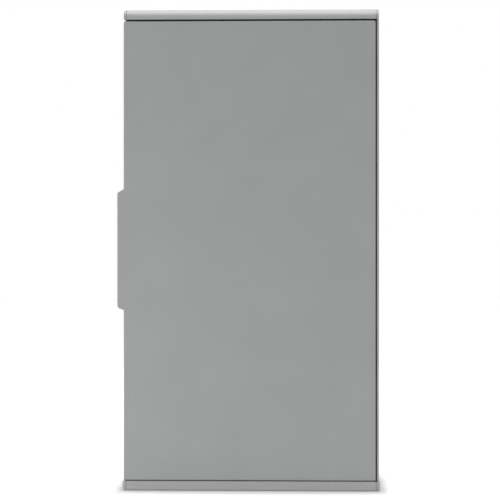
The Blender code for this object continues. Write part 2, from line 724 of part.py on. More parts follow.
def build_inner_panel():
    """The panel behind the phones: its side flanges run back along the walls."""
    back = INNER_FRONT + INNER_FLANGE
    outline = rounded([
        (INSIDE_LEFT, INNER_FRONT, 0), (INSIDE_RIGHT, INNER_FRONT, 0), (INSIDE_RIGHT, back, 0),
        (INSIDE_RIGHT - INNER_SHEET, back, 0), (INSIDE_RIGHT - INNER_SHEET, INNER_BACK, 0),
        (INSIDE_LEFT + INNER_SHEET, INNER_BACK, 0), (INSIDE_LEFT + INNER_SHEET, back, 0),
        (INSIDE_LEFT, back, 0),
    ])
    panel = place(prism("inner_panel", [outline], "z", WALL_FOOT, WALL_HEAD), "case_paint")
    tiers = range(len(TIER_NAMES))
    loops = [circle(grommet_x(tier), lead_z(tier), GROMMET_NECK + FIT_GAP, 16) for tier in tiers]
    for tier in tiers:
        level = WALL_FOOT + (tier + 1) * TIER_PITCH - BAY_VENT_DROP
        loops += [slot(bay_centre(bay), level, BAY_VENT_LENGTH, BAY_VENT_HEIGHT) for bay in range(BAYS)]
    cut(panel, prism("inner_panel_holes", loops, "y", INNER_FRONT - FIT_GAP, INNER_BACK + FIT_GAP))
    return panel


# Door.


def build_door(pivot):
    build_skin(pivot)
    build_tray(pivot)
    build_stiffener(pivot)
    for word, level, inward in (("lower", DOOR_FOOT, 1), ("upper", DOOR_HEAD, -1)):
        build_catch_plate(word, level, inward, pivot)
        build_bush(word, level, inward, pivot)
    build_strike(pivot)


def build_skin(pivot):
    """The door's face: one flat sheet with the pull tab on its free edge."""
    root_top, root_foot = TAB_CENTRE + TAB_LENGTH / 2, TAB_CENTRE - TAB_LENGTH / 2
    tip = LEFT - TAB_REACH
    foot = BASE_HEIGHT + SKIN_FOOT_GAP
    corner, blend = SKIN_CORNER_RADIUS, TAB_TOP_RADIUS
    outline = rounded([
        (LEFT, foot, corner), (DOOR_RIGHT, foot, corner), (DOOR_RIGHT, DOOR_HEAD, corner),
        (LEFT, DOOR_HEAD, corner), (LEFT, root_top, blend), (tip, root_top - TAB_TOP_SLOPE, blend),
        (tip, root_foot + TAB_FOOT_SLOPE, TAB_FOOT_RADIUS), (LEFT, root_foot, blend),
    ])
    skin = round_rim(prism("door_skin", [outline], "y", FRONT, SKIN_BACK), "y", FRONT, SKIN_EDGE_RADIUS)
    on_pivot(place(skin, "door_paint"), pivot)


def build_tray(pivot):
    """The folded pan behind the skin: a web with a flange all round, open to the back."""
    low = Vector((LEFT + TRAY_INSET, TRAY_FRONT, DOOR_FOOT))
    high = Vector((DOOR_RIGHT - TRAY_INSET, DOOR_BACK, DOOR_HEAD))
    tray = box("door_tray", low, high)
    work = bmesh.new()
    work.from_mesh(tray.data)
    open_side = max(work.faces, key=lambda face: face.calc_center_median().y)
    bmesh.ops.delete(work, geom=[open_side], context="FACES_ONLY")
    work.to_mesh(tray.data)
    work.free()
    fold = tray.modifiers.new("sheet", "SOLIDIFY")
    fold.thickness = TRAY_SHEET
    fold.offset = -1
    fold.use_even_offset = True
    for word, level in (("lower", DOOR_FOOT), ("upper", DOOR_HEAD)):
        hole = circle(HINGE_X, HINGE_Y, BUSH_RADIUS + FIT_GAP)
        cut(tray, prism("bush_hole_" + word, [hole], "z", level - 2 * TRAY_SHEET, level + 2 * TRAY_SHEET))
    on_pivot(place(tray, "door_paint"), pivot)


def build_stiffener(pivot):
    """A hat section bonded down the middle of the tray."""
    middle = (LEFT + DOOR_RIGHT) / 2
    half, brim = STIFFENER_WIDTH / 2, STIFFENER_BRIM
    near = TRAY_WEB_BACK + FIT_GAP
    far = near + STIFFENER_RISE
    sheet = TRAY_SHEET
    outline = rounded([
        (middle - half, near, 0), (middle - half + brim, near, 0), (middle - half + brim, far - sheet, 0),
        (middle + half - brim, far - sheet, 0), (middle + half - brim, near, 0), (middle + half, near, 0),
        (middle + half, near + sheet, 0), (middle + half - brim + sheet, near + sheet, 0),
        (middle + half - brim + sheet, far, sheet), (middle - half + brim - sheet, far, sheet),
        (middle - half + brim - sheet, near + sheet, 0), (middle - half, near + sheet, 0),
    ])
    low, high = DOOR_FOOT + TRAY_SHEET + FIT_GAP, DOOR_HEAD - TRAY_SHEET - FIT_GAP
    on_pivot(place(prism("door_stiffener", [outline], "z", low, high), "door_paint"), pivot)


def catch_x():
    return LEFT + CATCH_FROM_LEFT, LEFT + CATCH_FROM_LEFT + CATCH_WIDTH


def build_catch_plate(word, level, inward, pivot):
    """An L plate in the tray that the magnet holds. inward is 1 at the door's foot and -1 at its head."""
    seat = level + inward * (TRAY_SHEET + FIT_GAP)
    web = TRAY_WEB_BACK + FIT_GAP
    outline = rounded([
        (web, seat, 0), (DOOR_BACK, seat, 0), (DOOR_BACK, seat + inward * CATCH_PLATE_HEIGHT, 0),
        (DOOR_BACK - CATCH_PLATE, seat + inward * CATCH_PLATE_HEIGHT, 0),
        (DOOR_BACK - CATCH_PLATE, seat + inward * CATCH_PLATE, 0), (web, seat + inward * CATCH_PLATE, 0),
    ])
    on_pivot(place(prism("catch_plate_" + word, [outline], "x", *catch_x()), "zinc_steel"), pivot)


def build_strike(pivot):
    """A Z-shaped hook on the tray. Its lip stands behind the lock's cam when the cam is turned up."""
    lip_front = LOCK_Y + CAM_WIDTH / 2 + RUNNING_GAP
    lip_back = lip_front + STRIKE_SHEET
    web = TRAY_WEB_BACK + FIT_GAP
    lip_left = cam_x()[0] - STRIKE_OVERHANG
    arm = lip_left + STRIKE_LIP
    outline = rounded([
        (arm, web, 0), (arm + STRIKE_FOOT, web, 0), (arm + STRIKE_FOOT, web + STRIKE_SHEET, 0),
        (arm, web + STRIKE_SHEET, 0), (arm, lip_back, 0), (lip_left, lip_back, 0), (lip_left, lip_front, 0),
        (arm - STRIKE_SHEET, lip_front, 0), (arm - STRIKE_SHEET, web, 0),
    ])
    low = LOCK_Z + LOCK_BARREL_RADIUS + 2 * RUNNING_GAP
    on_pivot(place(prism("lock_strike", [outline], "z", low, low + STRIKE_HEIGHT), "zinc_steel"), pivot)


def build_bush(word, level, inward, pivot):
    """A nylon bush in the tray's end flange. Its own flange fills the gap between the door and the rail."""
    gap = DOOR_FOOT_GAP if inward > 0 else DOOR_TOP_GAP
    flange = BUSH_RADIUS + BUSH_FLANGE
    profile = [(BUSH_BORE, gap - FIT_GAP), (flange, gap - FIT_GAP), (flange, FIT_GAP), (BUSH_RADIUS, FIT_GAP),
               (BUSH_RADIUS, -BUSH_LENGTH), (BUSH_BORE, -BUSH_LENGTH)]
    axis = "-z" if inward > 0 else "z"
    bush = turned("hinge_bush_" + word, profile, axis, (HINGE_X, HINGE_Y, level), ring=True)
    on_pivot(place(bush, "nylon"), pivot)


def build_hinge_pins():
    """Headed pins, each held in the wall of a rail."""
    for word, gap, level, axis in (
        ("lower", DOOR_FOOT_GAP, DOOR_FOOT, "-z"), ("upper", DOOR_TOP_GAP, DOOR_HEAD, "z"),
    ):
        seat = gap + RAIL_WALL + FIT_GAP
        profile = [
            (0, seat + PIN_HEAD_HEIGHT), (PIN_HEAD_RADIUS, seat + PIN_HEAD_HEIGHT), (PIN_HEAD_RADIUS, seat),
            (PIN_RADIUS, seat), (PIN_RADIUS, -PIN_REACH), (0, -PIN_REACH),
        ]
        place(turned("hinge_pin_" + word, profile, axis, (HINGE_X, HINGE_Y, level)), "zinc_steel")


def build_magnet_catches():
    front = DOOR_BACK + FIT_GAP
    for word, seat, inward in (("lower", WALL_FOOT, 1), ("upper", WALL_HEAD, -1)):
        levels = sorted((seat, seat + inward * CATCH_HEIGHT))
        left, right = catch_x()
        low, high = (left, front, levels[0]), (right, front + CATCH_DEPTH, levels[1])
        place(box("magnet_catch_" + word, low, high, CATCH_EDGE), "black_plastic")


def build_seal():
    """A foam strip on the left wall's front flange, which the tray's free edge closes on."""
    left = LEFT + SEAL_INSET
    low = (left, DOOR_BACK + FIT_GAP, WALL_FOOT + FIT_GAP)
    high = (left + SEAL_WIDTH, WALL_FRONT - FIT_GAP, WALL_HEAD - FIT_GAP)
    place(box("door_seal", low, high), "rubber")


# Lock.


def cam_x():
    start = LEFT - FIT_GAP + LOCK_BARREL_LENGTH + 2 * FIT_GAP
    return start, start + CAM_SHEET


def build_lock(pivot):
    seat = LEFT - FIT_GAP
    centre = (0, LOCK_Y, LOCK_Z)
    bore = LOCK_PLUG_RADIUS + FIT_GAP
    head, tail = seat - LOCK_HEAD_HEIGHT, seat + LOCK_BARREL_LENGTH
    profile = [
        (bore, tail), (LOCK_BARREL_RADIUS, tail), (LOCK_BARREL_RADIUS, seat), (LOCK_HEAD_RADIUS, seat),
        (LOCK_HEAD_RADIUS, head + LOCK_HEAD_EDGE), (LOCK_HEAD_RADIUS - LOCK_HEAD_EDGE, head), (bore, head),
    ]
    place(turned("lock_barrel", profile, "x", centre, ring=True, sides=LOCK_SIDES), "chrome")

    nut_low = LEFT + LEFT_SHEET + FIT_GAP
    nut = prism("lock_nut", [circle(LOCK_Y, LOCK_Z, LOCK_NUT_RADIUS, 6),
                             circle(LOCK_Y, LOCK_Z, LOCK_BARREL_RADIUS + FIT_GAP)],
                "x", nut_low, nut_low + LOCK_NUT_HEIGHT)
    place(nut, "zinc_steel")

    cam_low, cam_high = cam_x()
    plug_face = head - FIT_GAP
    plug_end = cam_low - FIT_GAP
    profile = [(0, plug_end), (LOCK_PLUG_RADIUS, plug_end), (LOCK_PLUG_RADIUS, plug_face), (0, plug_face)]
    plug = place(turned("lock_plug", profile, "x", centre, sides=LOCK_SIDES), "chrome")
    half = LOCK_TANG / 2
    join(plug, box("plug_tang", (plug_end - half, LOCK_Y - half, LOCK_Z - half),
                   (cam_high - FIT_GAP, LOCK_Y + half, LOCK_Z + half)))
    cut(plug, box("keyway", (plug_face - FIT_GAP, LOCK_Y - KEYWAY_WIDTH / 2, LOCK_Z - KEYWAY_HEIGHT / 2),
                  (plug_face + KEYWAY_DEPTH, LOCK_Y + KEYWAY_WIDTH / 2, LOCK_Z + KEYWAY_HEIGHT / 2)))
    tapped = circle(LOCK_Y, LOCK_Z, CAM_SCREW_RADIUS + FIT_GAP, 12)
    cut(plug, prism("tapped_hole", [tapped], "x", cam_high - CAM_SCREW_LENGTH - FIT_GAP, cam_high + FIT_GAP))
    on_pivot(plug, pivot)

    width = CAM_WIDTH / 2
    outline = rectangle(
        LOCK_Y - CAM_LENGTH, LOCK_Z - width, LOCK_Y + width + FIT_GAP, LOCK_Z + width, width / 2)
    reach = half + FIT_GAP
    square = rectangle(LOCK_Y - reach, LOCK_Z - reach, LOCK_Y + reach, LOCK_Z + reach)
    on_pivot(place(prism("lock_cam", [outline, square], "x", cam_low, cam_high), "zinc_steel"), pivot)

    under = cam_high + FIT_GAP
    profile = [
        (0, under + CAM_SHEET), (CAM_SCREW_HEAD, under + CAM_SHEET), (CAM_SCREW_HEAD, under),
        (CAM_SCREW_RADIUS, under), (CAM_SCREW_RADIUS, cam_high - CAM_SCREW_LENGTH),
        (0, cam_high - CAM_SCREW_LENGTH),
    ]
    on_pivot(place(turned("cam_screw", profile, "x", centre, sides=12), "zinc_steel"), pivot)


# Tiers.


def bay_centre(bay):
    return INSIDE_LEFT + (bay + 0.5) * BAY_WIDTH


def shelf_z(tier):
    return WALL_FOOT + FIT_GAP + tier * TIER_PITCH


def lead_z(tier):
    return shelf_z(tier) + SHELF_HEIGHT / 2


def grommet_x(tier):
    return (tier - (len(TIER_NAMES) - 1) / 2) * LEAD_SPACING


def board_top(tier):
    return shelf_z(tier) + SHELF_SHEET + FIT_GAP + BOARD_STANDOFF + BOARD_THICKNESS


def sockets(tier):
    """x, z, outer width and height of each socket of a tier's board, and its kind."""
    found = []
    for bay in range(BAYS):
        for side, kind in ((-1, USB_A), (1, USB_C)):
            width, height = kind[0] + 2 * SHELL_WALL, kind[1] + 2 * SHELL_WALL
            x, z = bay_centre(bay) + side * SOCKET_SPREAD, board_top(tier) + height / 2
            found.append((x, z, width, height, kind))
    return found


def around(x, z, width, height):
    """The rectangle of a size round a centre."""
    return rectangle(x - width / 2, z - height / 2, x + width / 2, z + height / 2)


def socket_windows(tier):
    return [
        around(x, z, width + 2 * FIT_GAP, height + 2 * FIT_GAP) for x, z, width, height, _ in sockets(tier)
    ]


def build_shelf(tier, name):
    """A box section across the cabinet, with windows for the sockets and a hole for the grommet."""
    low, high = shelf_z(tier), shelf_z(tier) + SHELF_HEIGHT
    sheet = SHELF_SHEET
    outer = rectangle(SHELF_FRONT, low, SHELF_BACK, high)
    hollow = rectangle(SHELF_FRONT + sheet, low + sheet, SHELF_BACK - sheet, high - sheet)
    shelf = place(prism("shelf_" + name, [outer, hollow], "x", INSIDE_LEFT, INSIDE_RIGHT), "case_paint")
    windows = socket_windows(tier)
    cut(shelf, prism("socket_windows_" + name, windows, "y", SHELF_FRONT - sheet, SHELF_FRONT + 2 * sheet))
    hole = circle(grommet_x(tier), lead_z(tier), GROMMET_NECK + GROMMET_FLANGE + FIT_GAP, 16)
    cut(shelf, prism("grommet_hole_" + name, [hole], "y", SHELF_BACK - 2 * sheet, SHELF_BACK + sheet))


def build_fascia(tier, name):
    """The moulded front of a shelf: it frames the sockets and stands up as a stop for the phones."""
    low = shelf_z(tier)
    top = low + SHELF_HEIGHT + FASCIA_LIP
    outline = rounded([
        (INSIDE_LEFT, low, 0), (INSIDE_RIGHT, low, 0),
        (INSIDE_RIGHT, top, FASCIA_CORNER_RADIUS), (INSIDE_LEFT, top, FASCIA_CORNER_RADIUS),
    ])
    back = FASCIA_FRONT + FASCIA_THICKNESS
    fascia = prism("fascia_" + name, [outline, *socket_windows(tier)], "y", FASCIA_FRONT, back)
    place(fascia, "fascia_plastic")


def build_board(tier, name):
    """A circuit board on posts: a USB-A and a USB-C socket for each bay and one plug block at the back."""
    top = board_top(tier)
    under = top - BOARD_THICKNESS
    sunk = top - BOARD_THICKNESS / 2
    front = SHELF_FRONT + SHELF_SHEET + FIT_GAP
    back = front + BOARD_DEPTH
    left, right = INSIDE_LEFT + BOARD_MARGIN, INSIDE_RIGHT - BOARD_MARGIN
    board = place(box("usb_board_" + name, (left, front, under), (right, back, top)), "circuit_board")
    face = FASCIA_FRONT + SOCKET_SETBACK
    step = front + BOARD_THICKNESS
    shells, hollows, tongues = [], [], []
    for index, (x, z, width, height, kind) in enumerate(sockets(tier)):
        opening, opening_height, tongue, tongue_height, depth = kind
        word = name + str(index)
        low, high = z - height / 2, z + height / 2
        far = face + depth
        side = [(face, low), (step, low), (step, sunk), (far, sunk), (far, high), (face, high)]
        shells.append(prism("shell_" + word, [side], "x", x - width / 2, x + width / 2))
        floor = face + depth - 2 * SHELL_WALL
        mouth = around(x, z, opening, opening_height)
        hollows.append(prism("hollow_" + word, [mouth], "y", face - SHELL_WALL, floor))
        blade = around(x, z, tongue, tongue_height)
        tongues.append(prism("tongue_" + word, [blade], "y", face + SOCKET_MOUTH, floor + SHELL_WALL))
    join(board, merged("shells_" + name, shells))
    cut(board, merged("hollows_" + name, hollows))
    join(board, merged("tongues_" + name, tongues))
    half = POST_SIZE / 2
    posts = [
        box("post", (x - half, y - half, under - BOARD_STANDOFF), (x + half, y + half, sunk))
        for x in (left + POST_SIZE, right - POST_SIZE)
        for y in (front + POST_SIZE, back - POST_SIZE)
    ]
    width, depth, height = PLUG_BLOCK
    x = grommet_x(tier)
    low, high = (x - width / 2, back - depth, sunk), (x + width / 2, plug_back(), top + height)
    posts.append(box("plug_block", low, high))
    join(board, merged("posts_" + name, posts))


def plug_back():
    """The y of the back of a board's plug block, where the lead starts."""
    return SHELF_FRONT + SHELF_SHEET + BOARD_DEPTH + 2 * FIT_GAP


def build_cradle(tier, name):
    """A rubber mat on the shelf with a fin between each bay and the next."""
    floor = shelf_z(tier) + SHELF_HEIGHT + FIT_GAP
    top = floor + CRADLE_FLOOR
    mat = box("cradle_" + name, (INSIDE_LEFT, SHELF_FRONT, floor), (INSIDE_RIGHT, SHELF_BACK, top))
    side = rounded([
        (SHELF_FRONT + FASCIA_LIP, (floor + top) / 2, 0), (SHELF_BACK, (floor + top) / 2, 0),
        (SHELF_BACK, top + FIN_HEIGHT, 0), (SHELF_FRONT + FASCIA_LIP, top + FIN_HEIGHT, FIN_CORNER_RADIUS),
    ])
    half = FIN_THICKNESS / 2
    seams = [INSIDE_LEFT + bay * BAY_WIDTH for bay in range(1, BAYS)]
    fins = [prism("fin", [side], "x", seam - half, seam + half) for seam in seams]
    join(place(mat, "cradle_rubber"), merged("fins_" + name, fins))


def build_grommet(tier, name):
    lip = GROMMET_NECK + GROMMET_FLANGE
    front, back = FIT_GAP, -INNER_SHEET - FIT_GAP
    profile = [
        (GROMMET_BORE, front + GROMMET_FLANGE), (lip, front + GROMMET_FLANGE), (lip, front),
        (GROMMET_NECK, front), (GROMMET_NECK, back), (lip, back), (lip, back - GROMMET_FLANGE),
        (GROMMET_BORE, back - GROMMET_FLANGE),
    ]
    centre = (grommet_x(tier), INNER_FRONT, lead_z(tier))
    place(turned("grommet_" + name, profile, "y", centre, ring=True, sides=16), "rubber")


def build_tiers():
    for tier, name in enumerate(TIER_NAMES):
        build_shelf(tier, name)
        build_fascia(tier, name)
        build_board(tier, name)
        build_cradle(tier, name)
        build_grommet(tier, name)


# Power parts.


def terminal_face():
    """The y of the terminal block's front, where the leads end."""
    return WALL_BACK - SUPPLY_DEPTH + FIT_GAP


def terminal_z():
    """The level of the middle of the terminal block."""
    return BASE_HEIGHT + SUPPLY_ABOVE_BASE - FIT_GAP - TERMINAL_SIZE[2] / 2


def build_supply():
    low = BASE_HEIGHT + SUPPLY_ABOVE_BASE
    half = SUPPLY_WIDTH / 2
    case = box("power_supply", (-half, WALL_BACK - SUPPLY_DEPTH, low), (half, WALL_BACK, low + SUPPLY_LENGTH),
               SUPPLY_EDGE_RADIUS)
    place(case, "supply_case")
    width, depth, height = TERMINAL_SIZE
    front, top = terminal_face(), terminal_z() + height / 2
    block = box("supply_terminals", (-width / 2, front, top - height), (width / 2, front + depth, top))
    slot_width, slot_depth = TERMINAL_SLOT
    pitch = width / TERMINAL_SLOTS
    screws = [
        box("terminal_slot", (x - slot_width / 2, front + slot_depth, top - height - FIT_GAP),
            (x + slot_width / 2, front + depth - slot_depth, top - height + slot_depth * 0.9))
        for x in [pitch * (index - (TERMINAL_SLOTS - 1) / 2) for index in range(TERMINAL_SLOTS)]
    ]
    cut(place(block, "terminal_plastic"), merged("terminal_slots", screws))


def build_leads():
    """The leads inside: one to each tier's board, one from the inlet and one from the fan."""
    clear = 2 * FIT_GAP
    run = (INNER_BACK + GROMMET_FLANGE + WALL_BACK - SUPPLY_DEPTH) / 2
    for tier, name in enumerate(TIER_NAMES):
        x, low, high = grommet_x(tier), lead_z(tier), terminal_z()
        path = [
            (x, plug_back() + clear, low), (x, run, low), (x, run, high),
            (x, terminal_face() - clear, high),
        ]
        place(tube("dc_lead_" + name, path, LEAD_BEND, LEAD_RADIUS), "cable_sheath")
    start, low = inlet_back() - clear, INLET_FOOT + INLET_HEIGHT / 2
    end, high = TERMINAL_SIZE[0] / 2 + clear, terminal_z()
    y = terminal_face() + TERMINAL_SIZE[1] / 2
    path = [(start, EQUIPMENT_MIDDLE, low), (start - LEAD_TAIL, EQUIPMENT_MIDDLE, low),
            (end + LEAD_TAIL, y, high), (end, y, high)]
    place(tube("mains_lead", path, LEAD_BEND, LEAD_RADIUS), "cable_sheath")
    start, high = fan_x()[0] - clear, fan_z() - FAN_SIZE / 2 + 2 * FAN_LEAD_RADIUS
    x, y = SUPPLY_WIDTH / 4, WALL_BACK - SUPPLY_DEPTH / 2
    low = BASE_HEIGHT + SUPPLY_ABOVE_BASE + SUPPLY_LENGTH + clear
    path = [(start, y, high), (start - LEAD_TAIL, y, high), (x, y, low + LEAD_TAIL), (x, y, low)]
    place(tube("fan_lead", path, LEAD_BEND, FAN_LEAD_RADIUS), "cable_sheath")


# Fan.


def fan_x():
    return INSIDE_RIGHT - FAN_DEPTH, INSIDE_RIGHT


def fan_z():
    return CAP_UNDERSIDE - FAN_BELOW_ROOF


def fan_slots():
    """Slots in the wall in front of the fan, each as long as the bore is wide there."""
    loops = []
    for step in range(-2, 3):
        rise = step * FAN_SLOT_PITCH
        length = 2 * math.sqrt(FAN_BORE_RADIUS**2 - rise**2) - FAN_SLOT_WIDTH
        loops.append(slot(EQUIPMENT_MIDDLE, fan_z() + rise, length, FAN_SLOT_WIDTH))
    return loops


def sector(inner, outer, start, end):
    """A piece of a ring round the fan's axis between two turns."""
    turns = [start + (end - start) * step / 4 for step in range(5)]
    points = [(outer, turn) for turn in turns] + [(inner, turn) for turn in reversed(turns)]
    return [(EQUIPMENT_MIDDLE + r * math.cos(turn), fan_z() + r * math.sin(turn)) for r, turn in points]


def build_fan(pivot):
    low, high = fan_x()
    half = FAN_SIZE / 2
    square = rectangle(
        EQUIPMENT_MIDDLE - half, fan_z() - half, EQUIPMENT_MIDDLE + half, fan_z() + half, FAN_CORNER_RADIUS)
    frame = place(prism("fan_frame", [square], "x", low, high), "black_plastic")
    bore = circle(EQUIPMENT_MIDDLE, fan_z(), FAN_BORE_RADIUS, 24)
    cut(frame, prism("fan_bore", [bore], "x", low + FAN_SPIDER, high + FIT_GAP))
    arm = math.radians(10)
    windows = [
        sector(FAN_HUB_RADIUS, FAN_BORE_RADIUS - 2 * FIT_GAP, turn + arm, turn + math.pi / 2 - arm)
        for turn in [math.pi * (0.25 + 0.5 * quarter) for quarter in range(4)]
    ]
    cut(frame, prism("fan_windows", windows, "x", low - FIT_GAP, low + FAN_SPIDER + FIT_GAP))

    start, end = low + FAN_SPIDER + FIT_GAP, high - 2 * RUNNING_GAP
    centre = (0, EQUIPMENT_MIDDLE, fan_z())
    hub = [
        (0, end), (FAN_HUB_RADIUS - FAN_HUB_EDGE, end), (FAN_HUB_RADIUS, end - FAN_HUB_EDGE),
        (FAN_HUB_RADIUS, start), (0, start),
    ]
    rotor = place(turned("fan_rotor", hub, "x", centre), "black_plastic")
    reach = FAN_BORE_RADIUS - 2 * RUNNING_GAP
    root = FAN_HUB_RADIUS * 0.9
    blades = []
    for index in range(FAN_BLADES):
        chord, thick = BLADE_CHORD / 2, BLADE_THICKNESS / 2
        blade = box("blade", (-chord, -thick, root), (chord, thick, reach))
        turn = Matrix.Rotation(2 * math.pi * index / FAN_BLADES, 4, "X")
        turn = turn @ Matrix.Rotation(BLADE_PITCH, 4, "Z")
        seat = Matrix.Translation(((start + end) / 2, EQUIPMENT_MIDDLE, fan_z()))
        blade.matrix_world = seat @ turn @ blade.matrix_world
        blades.append(blade)
    on_pivot(join(rotor, merged("blades", blades)), pivot)


# Mains inlet.


def inlet_back():
    return INLET_FACE - INLET_FLANGE - INLET_BODY_DEPTH


def inlet_outline(inset):
    half = INLET_WIDTH / 2 - inset
    return rectangle(EQUIPMENT_MIDDLE - half, INLET_FOOT + inset, EQUIPMENT_MIDDLE + half,
                     INLET_FOOT + INLET_HEIGHT - inset, INLET_CORNER_RADIUS)


def socket_levels():
    return INLET_FOOT + INLET_RIB, INLET_FOOT + INLET_RIB + SOCKET_HEIGHT


def drawer_levels():
    low = socket_levels()[1] + INLET_RIB
    return low, low + DRAWER_HEIGHT


def rocker_level():
    return drawer_levels()[1] + INLET_RIB + ROCKER_HOUSING / 2


def inlet_recess(low, high, chamfer=0.0):
    """The outline of a hollow in the inlet's face, with its upper corners cut off by chamfer."""
    half = INLET_WIDTH / 2 - INLET_RIB
    left, right = EQUIPMENT_MIDDLE - half, EQUIPMENT_MIDDLE + half
    if not chamfer:
        return [(left, low), (right, low), (right, high), (left, high)]
    return [(left, low), (right, low), (right, high - chamfer), (right - chamfer, high),
            (left + chamfer, high),
            (left, high - chamfer)]


def build_inlet():
    """The inlet's block stands in the wall's window, and its flange lies behind the wall."""
    flange_face = INSIDE_RIGHT
    body = prism("mains_inlet", [inlet_outline(FIT_GAP)], "x", inlet_back(), INLET_FACE)
    inlet = place(body, "black_plastic")
    flange = inlet_outline(-INLET_RIM)
    join(inlet, prism("inlet_flange", [flange], "x", flange_face - INLET_FLANGE, flange_face))
    socket_floor = INLET_FACE - SOCKET_DEPTH
    mouth = prism("socket_mouth", [inlet_recess(*socket_levels(), SOCKET_CHAMFER)], "x", socket_floor, RIGHT)
    slot_outline = inlet_recess(*drawer_levels())
    drawer_slot = prism("drawer_slot", [slot_outline], "x", INLET_FACE - DRAWER_DEPTH - FIT_GAP, RIGHT)
    half = ROCKER_WIDTH / 2 + RUNNING_GAP
    level = rocker_level()
    housing_outline = rectangle(EQUIPMENT_MIDDLE - half, level - ROCKER_HOUSING / 2, EQUIPMENT_MIDDLE + half,
                                level + ROCKER_HOUSING / 2)
    housing = prism("rocker_housing", [housing_outline], "x", INLET_FACE - ROCKER_HOUSING / 2, RIGHT)
    cut(inlet, merged("inlet_hollows", [mouth, drawer_slot, housing]))
    low, high = socket_levels()
    middle = (low + high) / 2
    thickness, breadth = BLADE_SECTION
    blades = []
    for side, rise in ((-1, -EARTH_RISE / 2), (0, EARTH_RISE), (1, -EARTH_RISE / 2)):
        y, z = EQUIPMENT_MIDDLE + side * BLADE_SPREAD, middle + rise
        blades.append(box("blade", (socket_floor - thickness, y - thickness / 2, z - breadth / 2),
                          (socket_floor + BLADE_LENGTH, y + thickness / 2, z + breadth / 2)))
    join(inlet, merged("inlet_blades", blades))


def build_drawer(pivot):
    low, high = drawer_levels()
    half = INLET_WIDTH / 2 - INLET_RIB - FIT_GAP
    back, front = INLET_FACE - DRAWER_DEPTH, INLET_FACE + DRAWER_PROUD
    drawer = box("fuse_drawer", (back, EQUIPMENT_MIDDLE - half, low + FIT_GAP),
                 (front, EQUIPMENT_MIDDLE + half, high - FIT_GAP))
    length, width, depth = FUSE_POCKET
    wall = (DRAWER_DEPTH - length) / 2
    top = high - FIT_GAP
    pocket = box("fuse_pocket", (back + wall, EQUIPMENT_MIDDLE - width / 2, top - depth),
                 (back + wall + length, EQUIPMENT_MIDDLE + width / 2, top + FIT_GAP))
    on_pivot(cut(place(drawer, "black_plastic"), pocket), pivot)


def build_rocker(pivot):
    """The rocker, at rest with its upper half pressed in."""
    reach, nose = ROCKER_HALF_HEIGHT, ROCKER_NOSE
    side = [
        (-reach / 2, -nose), (-nose / 2, -reach), (nose, -reach), (nose * 0.55, 0), (nose, reach),
        (-nose / 2, reach), (-reach / 2, nose),
    ]
    turn = Matrix.Rotation(ROCKER_TILT, 2)
    x, z = INLET_FACE - ROCKER_PIVOT_DEPTH, rocker_level()
    outline = [(x + point.x, z + point.y) for point in [turn @ Vector(pair) for pair in side]]
    half = ROCKER_WIDTH / 2
    rocker = prism("rocker_switch", [outline], "y", EQUIPMENT_MIDDLE - half, EQUIPMENT_MIDDLE + half)
    on_pivot(place(rocker, "switch_red"), pivot)


def build_kiosk():
    build_rails()
    build_left_wall()
    build_right_wall()
    build_back_panel()
    build_inner_panel()
    build_magnet_catches()
    build_seal()
    build_hinge_pins()
    build_door(new_pivot("door_pivot", (HINGE_X, HINGE_Y, TAB_CENTRE)))
    build_lock(new_pivot("lock_pivot", (LEFT, LOCK_Y, LOCK_Z)))
    build_tiers()
    build_supply()
    build_leads()
    build_fan(new_pivot("fan_pivot", (INSIDE_RIGHT, EQUIPMENT_MIDDLE, fan_z())))
    build_inlet()
    build_drawer(new_pivot("drawer_pivot", (INLET_FACE, EQUIPMENT_MIDDLE, sum(drawer_levels()) / 2)))
    axle = (INLET_FACE - ROCKER_PIVOT_DEPTH, EQUIPMENT_MIDDLE, rocker_level())
    build_rocker(new_pivot("rocker_pivot", axle))


clear_scene()
KIOSK = new_collection("phone_charging_kiosk")
HELPERS = new_collection("helpers")
build_kiosk()
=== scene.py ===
"""Looks of a wall and counter cabinet that charges phones: materials, fine parts, studio and camera."""

import json
import math
from collections import namedtuple

import bmesh
import bpy
from mathutils import Matrix, Vector

